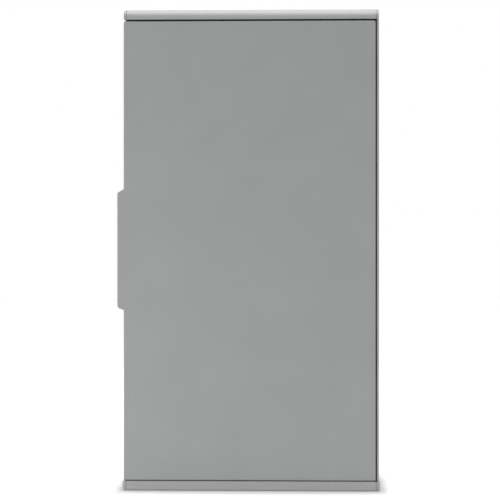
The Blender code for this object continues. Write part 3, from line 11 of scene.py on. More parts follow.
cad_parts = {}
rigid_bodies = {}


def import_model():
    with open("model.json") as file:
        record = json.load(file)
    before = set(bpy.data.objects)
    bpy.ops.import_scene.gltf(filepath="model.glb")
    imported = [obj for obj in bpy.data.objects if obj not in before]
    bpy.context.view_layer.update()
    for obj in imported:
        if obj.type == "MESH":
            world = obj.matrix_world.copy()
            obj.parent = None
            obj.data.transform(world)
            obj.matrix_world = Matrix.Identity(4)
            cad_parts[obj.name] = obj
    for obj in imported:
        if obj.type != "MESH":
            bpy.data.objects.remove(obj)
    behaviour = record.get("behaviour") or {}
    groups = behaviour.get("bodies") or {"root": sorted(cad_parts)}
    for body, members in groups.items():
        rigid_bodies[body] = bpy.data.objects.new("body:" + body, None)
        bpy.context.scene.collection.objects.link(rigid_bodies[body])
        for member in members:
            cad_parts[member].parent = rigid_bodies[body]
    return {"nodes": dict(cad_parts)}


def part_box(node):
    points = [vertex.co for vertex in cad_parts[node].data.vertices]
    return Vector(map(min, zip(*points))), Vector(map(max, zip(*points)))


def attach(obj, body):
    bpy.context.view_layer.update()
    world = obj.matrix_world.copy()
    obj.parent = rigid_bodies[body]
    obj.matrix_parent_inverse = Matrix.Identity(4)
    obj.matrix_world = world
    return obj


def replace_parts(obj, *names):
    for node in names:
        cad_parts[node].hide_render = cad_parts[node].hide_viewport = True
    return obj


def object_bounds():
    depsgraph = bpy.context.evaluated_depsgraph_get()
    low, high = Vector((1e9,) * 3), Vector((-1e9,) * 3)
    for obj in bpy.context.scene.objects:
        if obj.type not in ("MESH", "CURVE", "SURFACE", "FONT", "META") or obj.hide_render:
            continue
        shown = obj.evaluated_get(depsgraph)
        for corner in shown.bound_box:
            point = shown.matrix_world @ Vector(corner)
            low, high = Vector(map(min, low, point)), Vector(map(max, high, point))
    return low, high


for thing in list(bpy.data.objects):
    bpy.data.objects.remove(thing, do_unlink=True)

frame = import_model()
CAD_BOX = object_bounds()
NODES = frame["nodes"]

TIERS = ("lower", "middle", "upper")
LEVELS = ("lower", "upper")
SIDES = ("left", "right")
BAYS = 3


# Procedural materials. Every texture is laid out in metres on the piece's own coordinates.


def lighter(colour, factor, lift=0.0):
    """The colour times a factor, with a lift added, no brighter than white."""
    return tuple(min(1, part * factor + lift) for part in colour)


def tinted(colour, cast):
    """The colour with a cast: a factor for each of red, green and blue."""
    return tuple(part * share for part, share in zip(colour, cast))


MOST_OF_A_NOISE = (0.3, 0.7)
OPEN_FACE = 0.995  # least agreement between the rounded and the flat normal away from edges


class Shader:
    """A Principled material whose colour, roughness and relief come from textures."""

    def __init__(self, name, metallic=0.0, **constants):
        self.material = bpy.data.materials.new(name)
        self.material.use_nodes = True
        self.tree = self.material.node_tree
        self.surface = self.tree.nodes["Principled BSDF"]
        self.surface.inputs["Metallic"].default_value = metallic
        for socket, value in constants.items():
            self.surface.inputs[socket.replace("_", " ")].default_value = value
        self.place = self.tree.nodes.new("ShaderNodeTexCoord").outputs["Object"]
        self.relief_so_far = None

    def feed(self, socket, value):
        if isinstance(value, bpy.types.NodeSocket):
            self.tree.links.new(value, socket)
        elif isinstance(value, tuple) and len(value) == 3 and socket.type == "RGBA":
            socket.default_value = (*value, 1.0)
        else:
            socket.default_value = value

    def node(self, kind, inputs, **settings):
        made = self.tree.nodes.new("ShaderNode" + kind)
        for name, value in settings.items():
            setattr(made, name, value)
        for name, value in inputs.items():
            self.feed(made.inputs[name], value)
        return made

    def stretched(self, stretch):
        """The place, with each axis times its own factor. Below 1, patterns grow longer that way."""
        if stretch is None:
            return self.place
        made = self.node("VectorMath", {0: self.place, 1: stretch}, operation="MULTIPLY")
        return made.outputs[0]

    def noise(self, size, detail=2.0, stretch=None, wander=0.0):
        """Soft patches about size across, from 0 to 1 round 0.5."""
        place = self.stretched(stretch)
        inputs = {"Vector": place, "Scale": 1 / size, "Detail": detail, "Distortion": wander}
        return self.node("TexNoise", inputs).outputs[0]

    def cells(self, size, feature="F1", randomness=1.0, stretch=None):
        """Distance from the middle or the edge of cells about size across, in cell widths."""
        inputs = {"Vector": self.stretched(stretch), "Scale": 1 / size, "Randomness": randomness}
        return self.node("TexVoronoi", inputs, feature=feature).outputs["Distance"]

    def span(self, value, low, high, start=0.0, end=1.0):
        """Maps low..high to start..end and holds it there."""
        inputs = {"Value": value, "From Min": low, "From Max": high, "To Min": start, "To Max": end}
        return self.node("MapRange", inputs).outputs[0]

    def between(self, patches, start, end):
        """Maps the values that most of a noise has to start..end."""
        return self.span(patches, *MOST_OF_A_NOISE, start, end)

    def math(self, operation, first, second=0.0):
        return self.node("Math", {0: first, 1: second}, operation=operation).outputs[0]

    def axis(self, letter):
        return self.node("SeparateXYZ", {0: self.place}).outputs[letter]

    def mix(self, share, first, second):
        inputs = {0: share, 6: first, 7: second}
        return self.node("Mix", inputs, data_type="RGBA").outputs[2]

    def shade(self, colour, factor):
        """The colour times a varying factor."""
        inputs = {0: 1.0, 6: colour, 7: factor}
        made = self.node("Mix", inputs, data_type="RGBA", blend_type="MULTIPLY")
        return made.outputs[2]

    def edges(self, radius, soft=0.25):
        """1 on convex and concave edges within radius, 0 on open faces."""
        rounded_normal = self.node("Bevel", {"Radius": radius}, samples=4).outputs[0]
        flat_normal = self.node("NewGeometry", {}).outputs["Normal"]
        even = self.node("VectorMath", {0: rounded_normal, 1: flat_normal}, operation="DOT_PRODUCT")
        return self.span(even.outputs["Value"], 1.0 - soft, OPEN_FACE, 1.0, 0.0)

    def worn_and_highlit(self, colour, radius, share, bare_and_highlit):
        """The colour, with a share of a lighter one along its convex and concave edges: partly wear, partly a
        painted highlight.
        """
        return self.mix(self.math("MULTIPLY", self.edges(radius), share), colour, bare_and_highlit)

    def relief(self, height, depth):
        """Raises the surface by height times depth."""
        inputs = {"Height": height, "Distance": depth, "Strength": 1.0}
        if self.relief_so_far is not None:
            inputs["Normal"] = self.relief_so_far
        self.relief_so_far = self.node("Bump", inputs).outputs[0]
        return self

    def done(self, colour, roughness):
        """The material, once its colour, roughness and relief are joined up."""
        self.feed(self.surface.inputs["Base Color"], colour)
        self.feed(self.surface.inputs["Roughness"], roughness)
        if self.relief_so_far is not None:
            self.tree.links.new(self.relief_so_far, self.surface.inputs["Normal"])
        return self.material


def powder_coat(name, base, gloss=0.40):
    """Satin silver-grey powder coat: metal flake, faint mottling and a fine orange peel."""
    look = Shader(name, metallic=0.30)
    patches = look.between(look.noise(0.070, detail=3.0), 0.975, 1.025)
    flake = look.span(look.cells(0.00045), 0.15, 0.75, 1.07, 0.93)
    colour = look.shade(look.shade(base, patches), flake)
    # Lighter along the edges: partly wear, partly a painted highlight.
    colour = look.worn_and_highlit(colour, 0.0006, 0.30, lighter(base, 1.5))
    cloud = look.between(look.noise(0.018, detail=3.0), gloss - 0.03, gloss + 0.04)
    look.relief(look.noise(0.0019, detail=1.0), 0.000012)
    look.relief(look.noise(0.00038, detail=1.0), 0.000004)
    return look.done(colour, cloud)


def anodised(name, base, axis_stretch=(0.004, 1.0, 1.0)):
    """Satin anodised extrusion with drawing lines along its length."""
    look = Shader(name, metallic=0.40)
    lines = look.noise(0.00035, detail=3.0, stretch=axis_stretch)
    wide = look.noise(0.0040, stretch=axis_stretch)
    fine_tint = look.span(lines, 0.25, 0.75, 0.95, 1.05)
    tint = look.math("MULTIPLY", fine_tint, look.between(wide, 0.98, 1.02))
    # Lighter along the edges: partly wear, partly a painted highlight.
    colour = look.worn_and_highlit(look.shade(base, tint), 0.0006, 0.25, lighter(base, 1.45))
    look.relief(lines, 0.000006)
    look.relief(look.noise(0.00030, detail=1.0), 0.000003)
    return look.done(colour, look.span(lines, 0.2, 0.8, 0.33, 0.45))


def moulded(name, base, gloss=0.50, grain=0.00045, depth=0.000014, **constants):
    """Injection moulding with a spark-eroded grain."""
    look = Shader(name, **constants)
    speck = look.cells(grain, "SMOOTH_F1")
    colour = look.shade(base, look.between(look.noise(0.012, detail=3.0), 0.93, 1.07))
    # Lighter along the edges: partly wear, partly a painted highlight.
    colour = look.worn_and_highlit(colour, 0.0005, 0.35, lighter(base, 1.8, 0.01))
    look.relief(speck, depth)
    look.relief(look.noise(grain * 3), depth * 0.7)
    return look.done(colour, look.between(look.noise(0.006, detail=3.0), gloss - 0.06, gloss + 0.06))


def soft_rubber(name, base, gloss=0.75, grain=0.0009, dust=0.10):
    """Matt rubber: pebbled, with painted light and shade, lighter on the pebbles' tops and darker in the
    hollows between them, and dust settled in patches.
    """
    look = Shader(name, Specular_IOR_Level=0.35)
    pebble = look.cells(grain, "SMOOTH_F1")
    settled = look.math("MULTIPLY", look.span(look.noise(0.020, detail=4.0), 0.45, 0.75), dust)
    # Painted light and shade: lighter on the pebbles' tops, darker in the hollows between them.
    pebbled_with_painted_shade = look.shade(base, look.span(pebble, 0.0, 0.8, 1.15, 0.80))
    colour = look.mix(settled, pebbled_with_painted_shade, (0.30, 0.29, 0.27))
    look.relief(look.span(pebble, 0.0, 0.7, 1.0, 0.0), 0.00004)
    look.relief(look.noise(0.0002), 0.000006)
    return look.done(colour, look.span(pebble, 0.0, 0.7, gloss - 0.08, gloss + 0.10))


def plated(name, base, rough=(0.24, 0.42)):
    """Bright zinc plate: cloudy crystals, a faint blue and straw cast, rolling lines."""
    look = Shader(name, metallic=0.95)
    cloud = look.noise(0.0045, detail=4.0, wander=0.6)
    blue, straw = tinted(base, (0.94, 0.98, 1.05)), tinted(base, (1.05, 1.01, 0.93))
    cast = look.mix(look.span(look.noise(0.0120), 0.35, 0.65), blue, straw)
    colour = look.shade(cast, look.between(cloud, 0.88, 1.10))
    look.relief(look.noise(0.00030, stretch=(1.0, 0.1, 0.1)), 0.000004)
    return look.done(colour, look.between(cloud, *rough))


def polished(name, base):
    """Chrome plate with finger smudges and hairline scratches."""
    look = Shader(name, metallic=1.0)
    smudge = look.noise(0.0040, detail=4.0, wander=1.2)
    hair = look.noise(0.00012, detail=1.0, stretch=(1.0, 0.03, 1.0))
    colour = look.shade(base, look.span(smudge, 0.35, 0.7, 1.03, 0.93))
    look.relief(hair, 0.0000015)
    return look.done(colour, look.span(smudge, 0.35, 0.75, 0.09, 0.24))


def drawn_sheath(name, base):
    """Soft cable sheath: faint extrusion rings and scuffs."""
    look = Shader(name, Specular_IOR_Level=0.4)
    scuff = look.noise(0.0060, detail=4.0)
    colour = look.mix(look.span(scuff, 0.55, 0.75, 0.0, 0.12), base, (0.16, 0.16, 0.16))
    look.relief(look.noise(0.0012), 0.00002)
    return look.done(colour, look.between(scuff, 0.52, 0.68))


def circuit_board(name):
    """Green solder mask over copper: tracks show lighter, the glass weave shows through."""
    look = Shader(name, Specular_IOR_Level=0.5, Coat_Weight=0.25, Coat_Roughness=0.15)
    track_cells = look.cells(0.0032, "DISTANCE_TO_EDGE", 0.75, stretch=(1.0, 1.0, 0.02))
    copper = look.span(track_cells, 0.05, 0.09, 1.0, 0.0)
    pour = look.span(look.noise(0.020, detail=1.0), 0.50, 0.52)
    tracks = look.math("MAXIMUM", copper, pour)
    mask = look.mix(tracks, (0.010, 0.085, 0.038), (0.020, 0.170, 0.070))
    across, along = [
        look.math("SINE", look.math("MULTIPLY", look.axis(letter), WEAVE_PER_METRE)) for letter in "XY"
    ]
    weave = look.math("MULTIPLY", across, along)
    colour = look.shade(mask, look.span(weave, -1.0, 1.0, 0.93, 1.07))
    look.relief(tracks, 0.00003)
    look.relief(weave, 0.000003)
    return look.done(colour, look.between(look.noise(0.008, detail=3.0), 0.28, 0.40))


def perforated_sheet(name, base):
    """Aluminium sheet with a square field of round vent holes painted on its broad faces: near-black painted
    shade where the holes are, sunk by a bump.
    """
    look = Shader(name, metallic=0.85)
    hole_with_painted_shade = look.span(look.cells(HOLE_PITCH, randomness=0.0), 0.24, 0.27, 1.0, 0.0)
    lines = look.noise(0.00040, detail=3.0, stretch=(1.0, 1.0, 0.004))
    sheet = look.shade(base, look.span(lines, 0.25, 0.75, 0.90, 1.08))
    # The holes' near-black is painted shade.
    colour = look.mix(hole_with_painted_shade, sheet, (0.012, 0.012, 0.012))
    look.relief(hole_with_painted_shade, -0.0004)
    look.relief(lines, 0.000006)
    return look.done(colour, look.span(lines, 0.2, 0.8, 0.28, 0.46))


def lamp_lens(name, tint, glow):
    """A small diffused signal lamp."""
    look = Shader(name, Emission_Color=(*tint, 1.0), Emission_Strength=glow, Transmission_Weight=0.2)
    cloud = look.noise(0.0008, detail=3.0)
    colour = look.shade(tint, look.between(cloud, 0.80, 1.15))
    look.relief(look.cells(0.0006, "SMOOTH_F1"), 0.00003)
    return look.done(colour, look.between(cloud, 0.18, 0.30))


def printed(name, ink):
    """Screen-printed ink, a little thin in places."""
    look = Shader(name)
    thin = look.noise(0.0007, detail=3.0)
    colour = look.shade(ink, look.span(thin, 0.35, 0.65, 0.86, 1.02))
    look.relief(thin, 0.000010)
    return look.done(colour, look.between(thin, 0.50, 0.66))


WEAVE_PER_METRE = 9000.0
HOLE_PITCH = 0.0060
DOOR_PAINT = (0.340, 0.346, 0.349)
CASE_PAINT = (0.345, 0.350, 0.352)
RAIL_GREY = (0.350, 0.354, 0.357)
RED = (0.42, 0.018, 0.014)
LOOKS = {
    "door_paint": powder_coat("door_paint_look", DOOR_PAINT),
    "case_paint": powder_coat("case_paint_look", CASE_PAINT, 0.43),
    "rail_aluminium": anodised("rail_aluminium_look", RAIL_GREY),
    "end_cap_plastic": moulded("end_cap_look", RAIL_GREY, 0.40, 0.00050, 0.000008, metallic=0.40),
    "zinc_steel": plated("zinc_steel_look", (0.47, 0.47, 0.46), (0.32, 0.50)),
    "chrome": polished("chrome_look", (0.53, 0.53, 0.54)),
    "black_plastic": moulded("black_plastic_look", (0.022, 0.022, 0.024)),
    "fascia_plastic": moulded("fascia_look", (0.045, 0.047, 0.050), 0.44, 0.00060, 0.000018),
    "rubber": soft_rubber("rubber_look", (0.030, 0.030, 0.032), 0.80, 0.0007),
    "cradle_rubber": soft_rubber("cradle_rubber_look", (0.072, 0.075, 0.080), 0.72, 0.0011, 0.06),
    "nylon": moulded("nylon_look", (0.78, 0.77, 0.72), 0.48, 0.0007, 0.000010),
    "circuit_board": circuit_board("circuit_board_look"),
    "supply_case": perforated_sheet("supply_case_look", (0.62, 0.62, 0.60)),
    "terminal_plastic": moulded("terminal_look", (0.020, 0.020, 0.021), 0.42),
    "cable_sheath": drawn_sheath("cable_sheath_look", (0.018, 0.018, 0.019)),
    "switch_red": moulded("switch_red_look", RED, 0.32, 0.0016, 0.000004, Specular_IOR_Level=0.3),
}
NICKEL = plated("nickel_look", (0.66, 0.64, 0.60), (0.18, 0.30))
GOLD = polished("gold_look", (0.80, 0.58, 0.24))
WHITE_TONGUE = moulded("white_tongue_look", (0.70, 0.70, 0.68), 0.40, 0.0004, 0.000006)
LENS = lamp_lens("lamp_lens_look", (0.10, 0.42, 0.14), 0.15)
INK = printed("white_print_look", (0.62, 0.63, 0.63))

# The bushes show through the gap under the roof. They get black plastic as painted shade, so that the gap is
# dark all along.
PAINTED_SHADE_LOOKS = {"hinge_bush_" + level: LOOKS["terminal_plastic"] for level in LEVELS}


# The imported nodes: their real materials, save the hinge bushes' dark painted shade, their edges broken and
# their curves shaded smooth.

SHARPEST = math.radians(30)
FLATTEST = math.radians(0.5)
WELD_REACH = 0.00001
EDGE = {"door_skin": 0.0004, "top_cap": 0.0003, "base_rail": 0.0003}
EDGE_ELSEWHERE = 0.0002


def refine(node, look):
    """Gives a node its look, joins its flat facets, rounds its sharp edges and smooths its shading."""
    solid = NODES[node]
    mesh = solid.data
    if "custom_normal" in mesh.attributes:
        mesh.attributes.remove(mesh.attributes["custom_normal"])
    mesh.polygons.foreach_set("use_smooth", [True] * len(mesh.polygons))
    mesh.materials.clear()
    mesh.materials.append(look)
    weld = solid.modifiers.new("weld", "WELD")
    weld.merge_threshold = WELD_REACH
    flats = solid.modifiers.new("flats", "DECIMATE")
    flats.decimate_type = "DISSOLVE"
    flats.angle_limit = FLATTEST
    flats.delimit = {"MATERIAL"}
    edge = solid.modifiers.new("edge", "BEVEL")
    edge.width = EDGE.get(node, EDGE_ELSEWHERE)
    edge.segments = 2
    edge.limit_method = "ANGLE"
    edge.angle_limit = SHARPEST
    edge.use_clamp_overlap = False
    normals = solid.modifiers.new("normals", "WEIGHTED_NORMAL")
    normals.weight = 100
    normals.keep_sharp = False


for name, solid in NODES.items():
    refine(name, PAINTED_SHADE_LOOKS.get(name) or LOOKS[solid.data.materials[0].name])


def finish_faces(node, rule, looks):
    """Gives some of a node's faces another material. The rule names the look for a face's middle."""
    mesh = NODES[node].data
    order = list(looks)
    for word in order:
        mesh.materials.append(looks[word])
    for face in mesh.polygons:
        word = rule(face.center)
        if word:
            face.material_index = 1 + order.index(word)


# Fine parts. Each is built in place, in metres, and rides on the body that carries it.

HAIR = 0.0001  # tolerance for telling which part of a node a face belongs to
SAME_POINT = 0.000002
CAPITAL_SHARE = 0.7  # height of a figure in its font size
BEHIND, AHEAD = (0, 1, 0), (0, -1, 0)
RIGHT = (1, 0, 0)


def linked(name, data):
    """A new object in the scene."""
    made = bpy.data.objects.new(name, data)
    bpy.context.scene.collection.objects.link(made)
    return made


def evaluated_mesh(thing):
    """An object's mesh after its modifiers, or a curve's as a mesh."""
    bpy.context.view_layer.update()
    graph = bpy.context.evaluated_depsgraph_get()
    return bpy.data.meshes.new_from_object(thing.evaluated_get(graph))


def turn_to(axis):
    """The turn that brings +Z to an axis."""
    return Vector((0, 0, 1)).rotation_difference(Vector(axis)).to_matrix()


def within(value, middle, half):
    """Whether a value lies no further than half from the middle, give or take a hair."""
    return abs(value - middle) < half + HAIR


class Part:
    """Collects closed shapes into one piece."""

    def __init__(self):
        self.shapes = bmesh.new()

    def take(self, made):
        """Adds a shape, with its faces turned outwards, and frees it."""
        bmesh.ops.recalc_face_normals(made, faces=made.faces)
        mesh = bpy.data.meshes.new("shape")
        made.to_mesh(mesh)
        made.free()
        self.shapes.from_mesh(mesh)
        bpy.data.meshes.remove(mesh)
        return self

    def block(self, low, high, edge=0.0, segments=2):
        """A block between two corners, with its edges rounded by edge."""
        made = bmesh.new()
        low, high = Vector(low), Vector(high)
        size = Matrix.Diagonal((*(high - low), 1.0))
        bmesh.ops.create_cube(made, size=1.0, matrix=Matrix.Translation((low + high) / 2) @ size)
        if edge:
            geom = made.edges[:]
            bmesh.ops.bevel(made, geom=geom, offset=edge, segments=segments, profile=0.5, affect="EDGES")
        return self.take(made)

    def turned(self, profile, centre, axis, sides=32):
        """Revolves (radius, height) pairs about an axis through centre. Open ends close on the axis."""
        made = bmesh.new()
        turn = turn_to(axis)
        rings = []
        for radius, height in profile:
            ring = []
            for step in range(sides if radius > 0 else 1):
                angle = 2 * math.pi * step / sides
                spot = Vector((radius * math.cos(angle), radius * math.sin(angle), height))
                ring.append(made.verts.new(Vector(centre) + turn @ spot))
            rings.append(ring)
        closed = profile[0][0] > 0 and profile[-1][0] > 0
        followers = rings[1:] + rings[:1] if closed else rings[1:]
        for lower, upper in zip(rings, followers):
            for step in range(sides):
                after = (step + 1) % sides
                if len(lower) == 1:
                    made.faces.new((lower[0], upper[step], upper[after]))
                elif len(upper) == 1:
                    made.faces.new((lower[step], lower[after], upper[0]))
                else:
                    made.faces.new((lower[step], lower[after], upper[after], upper[step]))
        return self.take(made)

    def figures(self, words, height, thickness, place, facing):
        """Generic figures, thickness deep, centred on place and facing that way."""
        curve = bpy.data.curves.new("figures", "FONT")
        curve.body = words
        curve.size = height / CAPITAL_SHARE
        curve.extrude = thickness / 2
        curve.align_x, curve.align_y = "CENTER", "CENTER"
        curve.resolution_u = 4
        holder = linked("figures", curve)
        mesh = evaluated_mesh(holder)
        bpy.data.objects.remove(holder)
        made = bmesh.new()
        made.from_mesh(mesh)
        bpy.data.meshes.remove(mesh)
        bmesh.ops.remove_doubles(made, verts=made.verts, dist=SAME_POINT)
        facing = Vector(facing)
        right = Vector((0, 0, 1)).cross(facing).normalized()
        turn = Matrix((right, facing.cross(right), facing)).transposed().to_4x4()
        made.transform(Matrix.Translation(place) @ turn)
        return self.take(made)

    def rim(self, outer, inner, low, high):
        """A frame from y = low to y = high between two outlines of (x, z) pairs, with as many points each."""
        made = bmesh.new()
        corners = ((outer, low), (inner, low), (inner, high), (outer, high))
        loops = [[made.verts.new((x, y, z)) for x, z in outline] for outline, y in corners]
        count = len(outer)
        for near, far in zip(loops, loops[1:] + loops[:1]):
            for step in range(count):
                after = (step + 1) % count
                made.faces.new((near[step], near[after], far[after], far[step]))
        return self.take(made)

    def placed(self, matrix):
        """Moves all shapes so far."""
        self.shapes.transform(matrix)
        return self

    def without(self, cutters):
        """Cuts closed shapes away."""
        blank = self.solid("blank")
        blades = [cutter.solid("blade") for cutter in cutters]
        for blade in blades:
            cut = blank.modifiers.new("cut", "BOOLEAN")
            cut.operation, cut.solver, cut.object = "DIFFERENCE", "EXACT", blade
        mesh = evaluated_mesh(blank)
        for thing in (blank, *blades):
            bpy.data.objects.remove(thing)
        self.shapes = bmesh.new()
        self.shapes.from_mesh(mesh)
        bpy.data.meshes.remove(mesh)
        return self

    def solid(self, name):
        """The shapes as an object."""
        mesh = bpy.data.meshes.new(name)
        self.shapes.to_mesh(mesh)
        self.shapes.free()
        return linked(name, mesh)

    def piece(self, name, body, slot, look=None, smooth=35.0):
        """The shapes as a piece of the object, with the slot's look unless another is given."""
        made = self.solid(name)
        mesh = made.data
        mesh.materials.append(look or LOOKS[slot])
        mesh.polygons.foreach_set("use_smooth", [True] * len(mesh.polygons))
        mesh.set_sharp_from_angle(angle=math.radians(smooth))
        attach(made, body)
        return made


def rounded(x, z, width, height, radius, steps=6):
    """Outline of a rounded rectangle in (x, z) round a middle."""
    outline = []
    for corner, (across, up) in enumerate(((1, 1), (-1, 1), (-1, -1), (1, -1))):
        for step in range(steps + 1):
            angle = math.pi / 2 * (corner + step / steps)
            outline.append((x + across * (width / 2 - radius) + radius * math.cos(angle),
                            z + up * (height / 2 - radius) + radius * math.sin(angle)))
    return outline


# Bays: signal lamps, bay numbers, socket rims and contacts, ribs on the mats.

Socket = namedtuple("Socket", "width height tongue_width tongue_height contacts corner")
USB_A = Socket(0.0125, 0.0051, 0.0110, 0.0018, contacts=4, corner=0.0005)
USB_C = Socket(0.0086, 0.0026, 0.0066, 0.0008, contacts=6, corner=0.00125)
SOCKET_SPREAD = 0.0130  # from the middle of the bay
SHELL = 0.0004
STANDOFF, BOARD = 0.0024, 0.0016
PLUG_BLOCK_DEPTH = 0.0100

RIM_CORNER = 0.0011
RIM_LAP = 0.00003  # how far a rim reaches into the opening all round
RIM_FRONT, RIM_BACK = 0.00002, 0.00040  # in from the fascia's front
CONTACT_SHARE = 0.28  # half a contact's width in parts of the pitch
CONTACT_HALF_THICKNESS, CONTACT_INSET, CONTACT_LENGTH = 0.00008, 0.0012, 0.0060

LAMP_RADIUS, LAMP_BACK, LAMP_WALL, LAMP_DOME, DOME_STEPS = 0.0014, -0.0004, 0.0002, 0.0009, 6
DOME_ANGLES = [math.pi / 2 * step / DOME_STEPS for step in range(DOME_STEPS)]
LAMP = [  # profiles are (radius, height) pairs
    (0.0, LAMP_BACK), (LAMP_RADIUS, LAMP_BACK),
    *((LAMP_RADIUS * math.cos(angle), LAMP_WALL + LAMP_DOME * math.sin(angle)) for angle in DOME_ANGLES),
    (0.0, LAMP_WALL + LAMP_DOME),
]
LAMP_RING = [
    (0.0015, -0.0003), (0.0015, 0.0002), (0.0018, 0.0005), (0.0023, 0.0005), (0.0026, 0.0002),
    (0.0026, -0.0003),
]
FIGURE_HEIGHT, FIGURE_DROP, FIGURE_THICKNESS = 0.0062, 0.0062, 0.00012

MAT_SHEET = 0.0020
RIBS, RIB_START, RIB_PITCH, RIB_END_GAP = 6, 0.0060, 0.0066, 0.0060
RIB_HALF_WIDTH, RIB_SUNK, RIB_PROUD, RIB_EDGE = 0.0009, 0.0004, 0.00045, 0.0004

FASCIA_LOW, FASCIA_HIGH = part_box("fascia_lower")
FASCIA_FRONT = FASCIA_LOW.y
BAY_WIDTH = (FASCIA_HIGH.x - FASCIA_LOW.x) / BAYS


def bay_middle(bay):
    """x of the middle of a bay, counted from the left."""
    return FASCIA_LOW.x + (bay + 0.5) * BAY_WIDTH


def sockets(board_top):
    """x, z and kind of each socket on a board."""
    return [
        (bay_middle(bay) + side * SOCKET_SPREAD, board_top + SHELL + kind.height / 2, kind)
        for bay in range(BAYS) for side, kind in ((-1, USB_A), (1, USB_C))
    ]


def finish_board(tier, board_top, places):
    """Nylon posts below the board, plugs at its back, nickel shells and dark tongues at its front."""
    low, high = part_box("usb_board_" + tier)
    shelf_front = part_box("shelf_" + tier)[0].y

    def board_part(spot):
        above = spot.z > board_top + HAIR
        if spot.z < low.z + STANDOFF - HAIR:
            return "post"
        if above and spot.y > high.y - PLUG_BLOCK_DEPTH - HAIR:
            return "plug"
        if above or spot.y < shelf_front + HAIR:
            for x, z, kind in places:
                if within(spot.x, x, kind.tongue_width / 2) and within(spot.z, z, kind.tongue_height / 2):
                    return "tongue"
            return "shell"
        return None

    finish_faces("usb_board_" + tier, board_part, {
        "post": LOOKS["nylon"], "plug": WHITE_TONGUE, "shell": NICKEL, "tongue": LOOKS["terminal_plastic"],
    })


def socket_rims(places):
    """The front rims of the socket shells, just behind the fascia's front."""
    rims = Part()
    for x, z, kind in places:
        wide, tall = kind.width + 2 * SHELL, kind.height + 2 * SHELL
        rims.rim(
            rounded(x, z, wide, tall, RIM_CORNER),
            rounded(x, z, kind.width - 2 * RIM_LAP, kind.height - 2 * RIM_LAP, kind.corner),
            FASCIA_FRONT + RIM_FRONT, FASCIA_FRONT + RIM_BACK)
    return rims


def socket_contacts(places):
    """Thin contacts in a row on the underside of each tongue."""
    contacts = Part()
    face = FASCIA_FRONT + CONTACT_INSET
    for x, z, kind in places:
        pitch = kind.tongue_width / kind.contacts
        under = z - kind.tongue_height / 2
        for pin in range(kind.contacts):
            middle = x + (pin + 0.5 - kind.contacts / 2) * pitch
            half = pitch * CONTACT_SHARE
            contacts.block((middle - half, face, under - CONTACT_HALF_THICKNESS),
                           (middle + half, face + CONTACT_LENGTH, under + CONTACT_HALF_THICKNESS))
    return contacts


def mat_ribs(tier):
    """Low ribs across each bay of a mat, for the phones to stand on."""
    ribs = Part()
    low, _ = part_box("cradle_" + tier)
    face = low.z + MAT_SHEET
    for bay in range(BAYS):
        start = FASCIA_LOW.x + bay * BAY_WIDTH + RIB_END_GAP
        end = FASCIA_LOW.x + (bay + 1) * BAY_WIDTH - RIB_END_GAP
        for rib in range(RIBS):
            y = low.y + RIB_START + rib * RIB_PITCH
            ribs.block((start, y - RIB_HALF_WIDTH, face - RIB_SUNK),
                       (end, y + RIB_HALF_WIDTH, face + RIB_PROUD), RIB_EDGE, 3)
    return ribs


for index, tier in enumerate(TIERS):
    board_low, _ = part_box("usb_board_" + tier)
    board_top = board_low.z + STANDOFF + BOARD
    places = sockets(board_top)
    finish_board(tier, board_top, places)

    figure_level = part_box("fascia_" + tier)[1].z - FIGURE_DROP
    lamp_level = board_top + SHELL + USB_A.height / 2
    first_number = 1 + (len(TIERS) - 1 - index) * BAYS
    lamps, rings, numbers = Part(), Part(), Part()
    for bay in range(BAYS):
        seat = (bay_middle(bay), FASCIA_FRONT, lamp_level)
        lamps.turned(LAMP, seat, AHEAD)
        rings.turned(LAMP_RING, seat, AHEAD)
        spot = (bay_middle(bay), FASCIA_FRONT, figure_level)
        numbers.figures(str(first_number + bay), FIGURE_HEIGHT, FIGURE_THICKNESS, spot, AHEAD)

    socket_rims(places).piece("socket_mouths_" + tier, "case", "circuit_board", NICKEL)
    lamps.piece("bay_lamps_" + tier, "case", "fascia_plastic", LENS, 60)
    rings.piece("bay_lamp_rings_" + tier, "case", "black_plastic")
    numbers.piece("bay_numbers_" + tier, "case", "fascia_plastic", INK)
    socket_contacts(places).piece("socket_contacts_" + tier, "case", "circuit_board", GOLD)
    mat_ribs(tier).piece("mat_ribs_" + tier, "case", "cradle_rubber")


# Door and lock: spot welds on the stiffener's brims, rivets on the strike, poles on the magnets.

WELD = [
    (0.0, 0.00004), (0.0014, 0.00006), (0.0019, 0.00016), (0.0023, 0.00018), (0.0027, 0.00010), (0.0031, 0.0),
    (0.0031, -0.0002), (0.0, -0.0002),
]
WELDS_PER_BRIM = 14
STIFFENER_SHEET, STIFFENER_BRIM = 0.0010, 0.0120
low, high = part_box("door_stiffener")
welds = Part()
for x in (low.x + STIFFENER_BRIM / 2, high.x - STIFFENER_BRIM / 2):
    for step in range(WELDS_PER_BRIM):
        z = low.z + (step + 0.5) * (high.z - low.z) / WELDS_PER_BRIM
        welds.turned(WELD, (x, low.y + STIFFENER_SHEET, z), BEHIND, 24)
welds.piece("stiffener_welds", "door", "door_paint", smooth=60)

RIVET = [
    (0.0, 0.0011), (0.0007, 0.0010), (0.0008, 0.0007), (0.0013, 0.0009), (0.0020, 0.0005), (0.0022, 0.0),
    (0.0022, -0.0002), (0.0, -0.0002),
]
STRIKE_SHEET = 0.0015
low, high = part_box("lock_strike")
rivets = Part()
for inset in (0.0040, 0.0120):
    rivets.turned(RIVET, (high.x - inset, low.y + STRIKE_SHEET, (low.z + high.z) / 2), BEHIND)
rivets.piece("strike_rivets", "door", "zinc_steel", smooth=50)

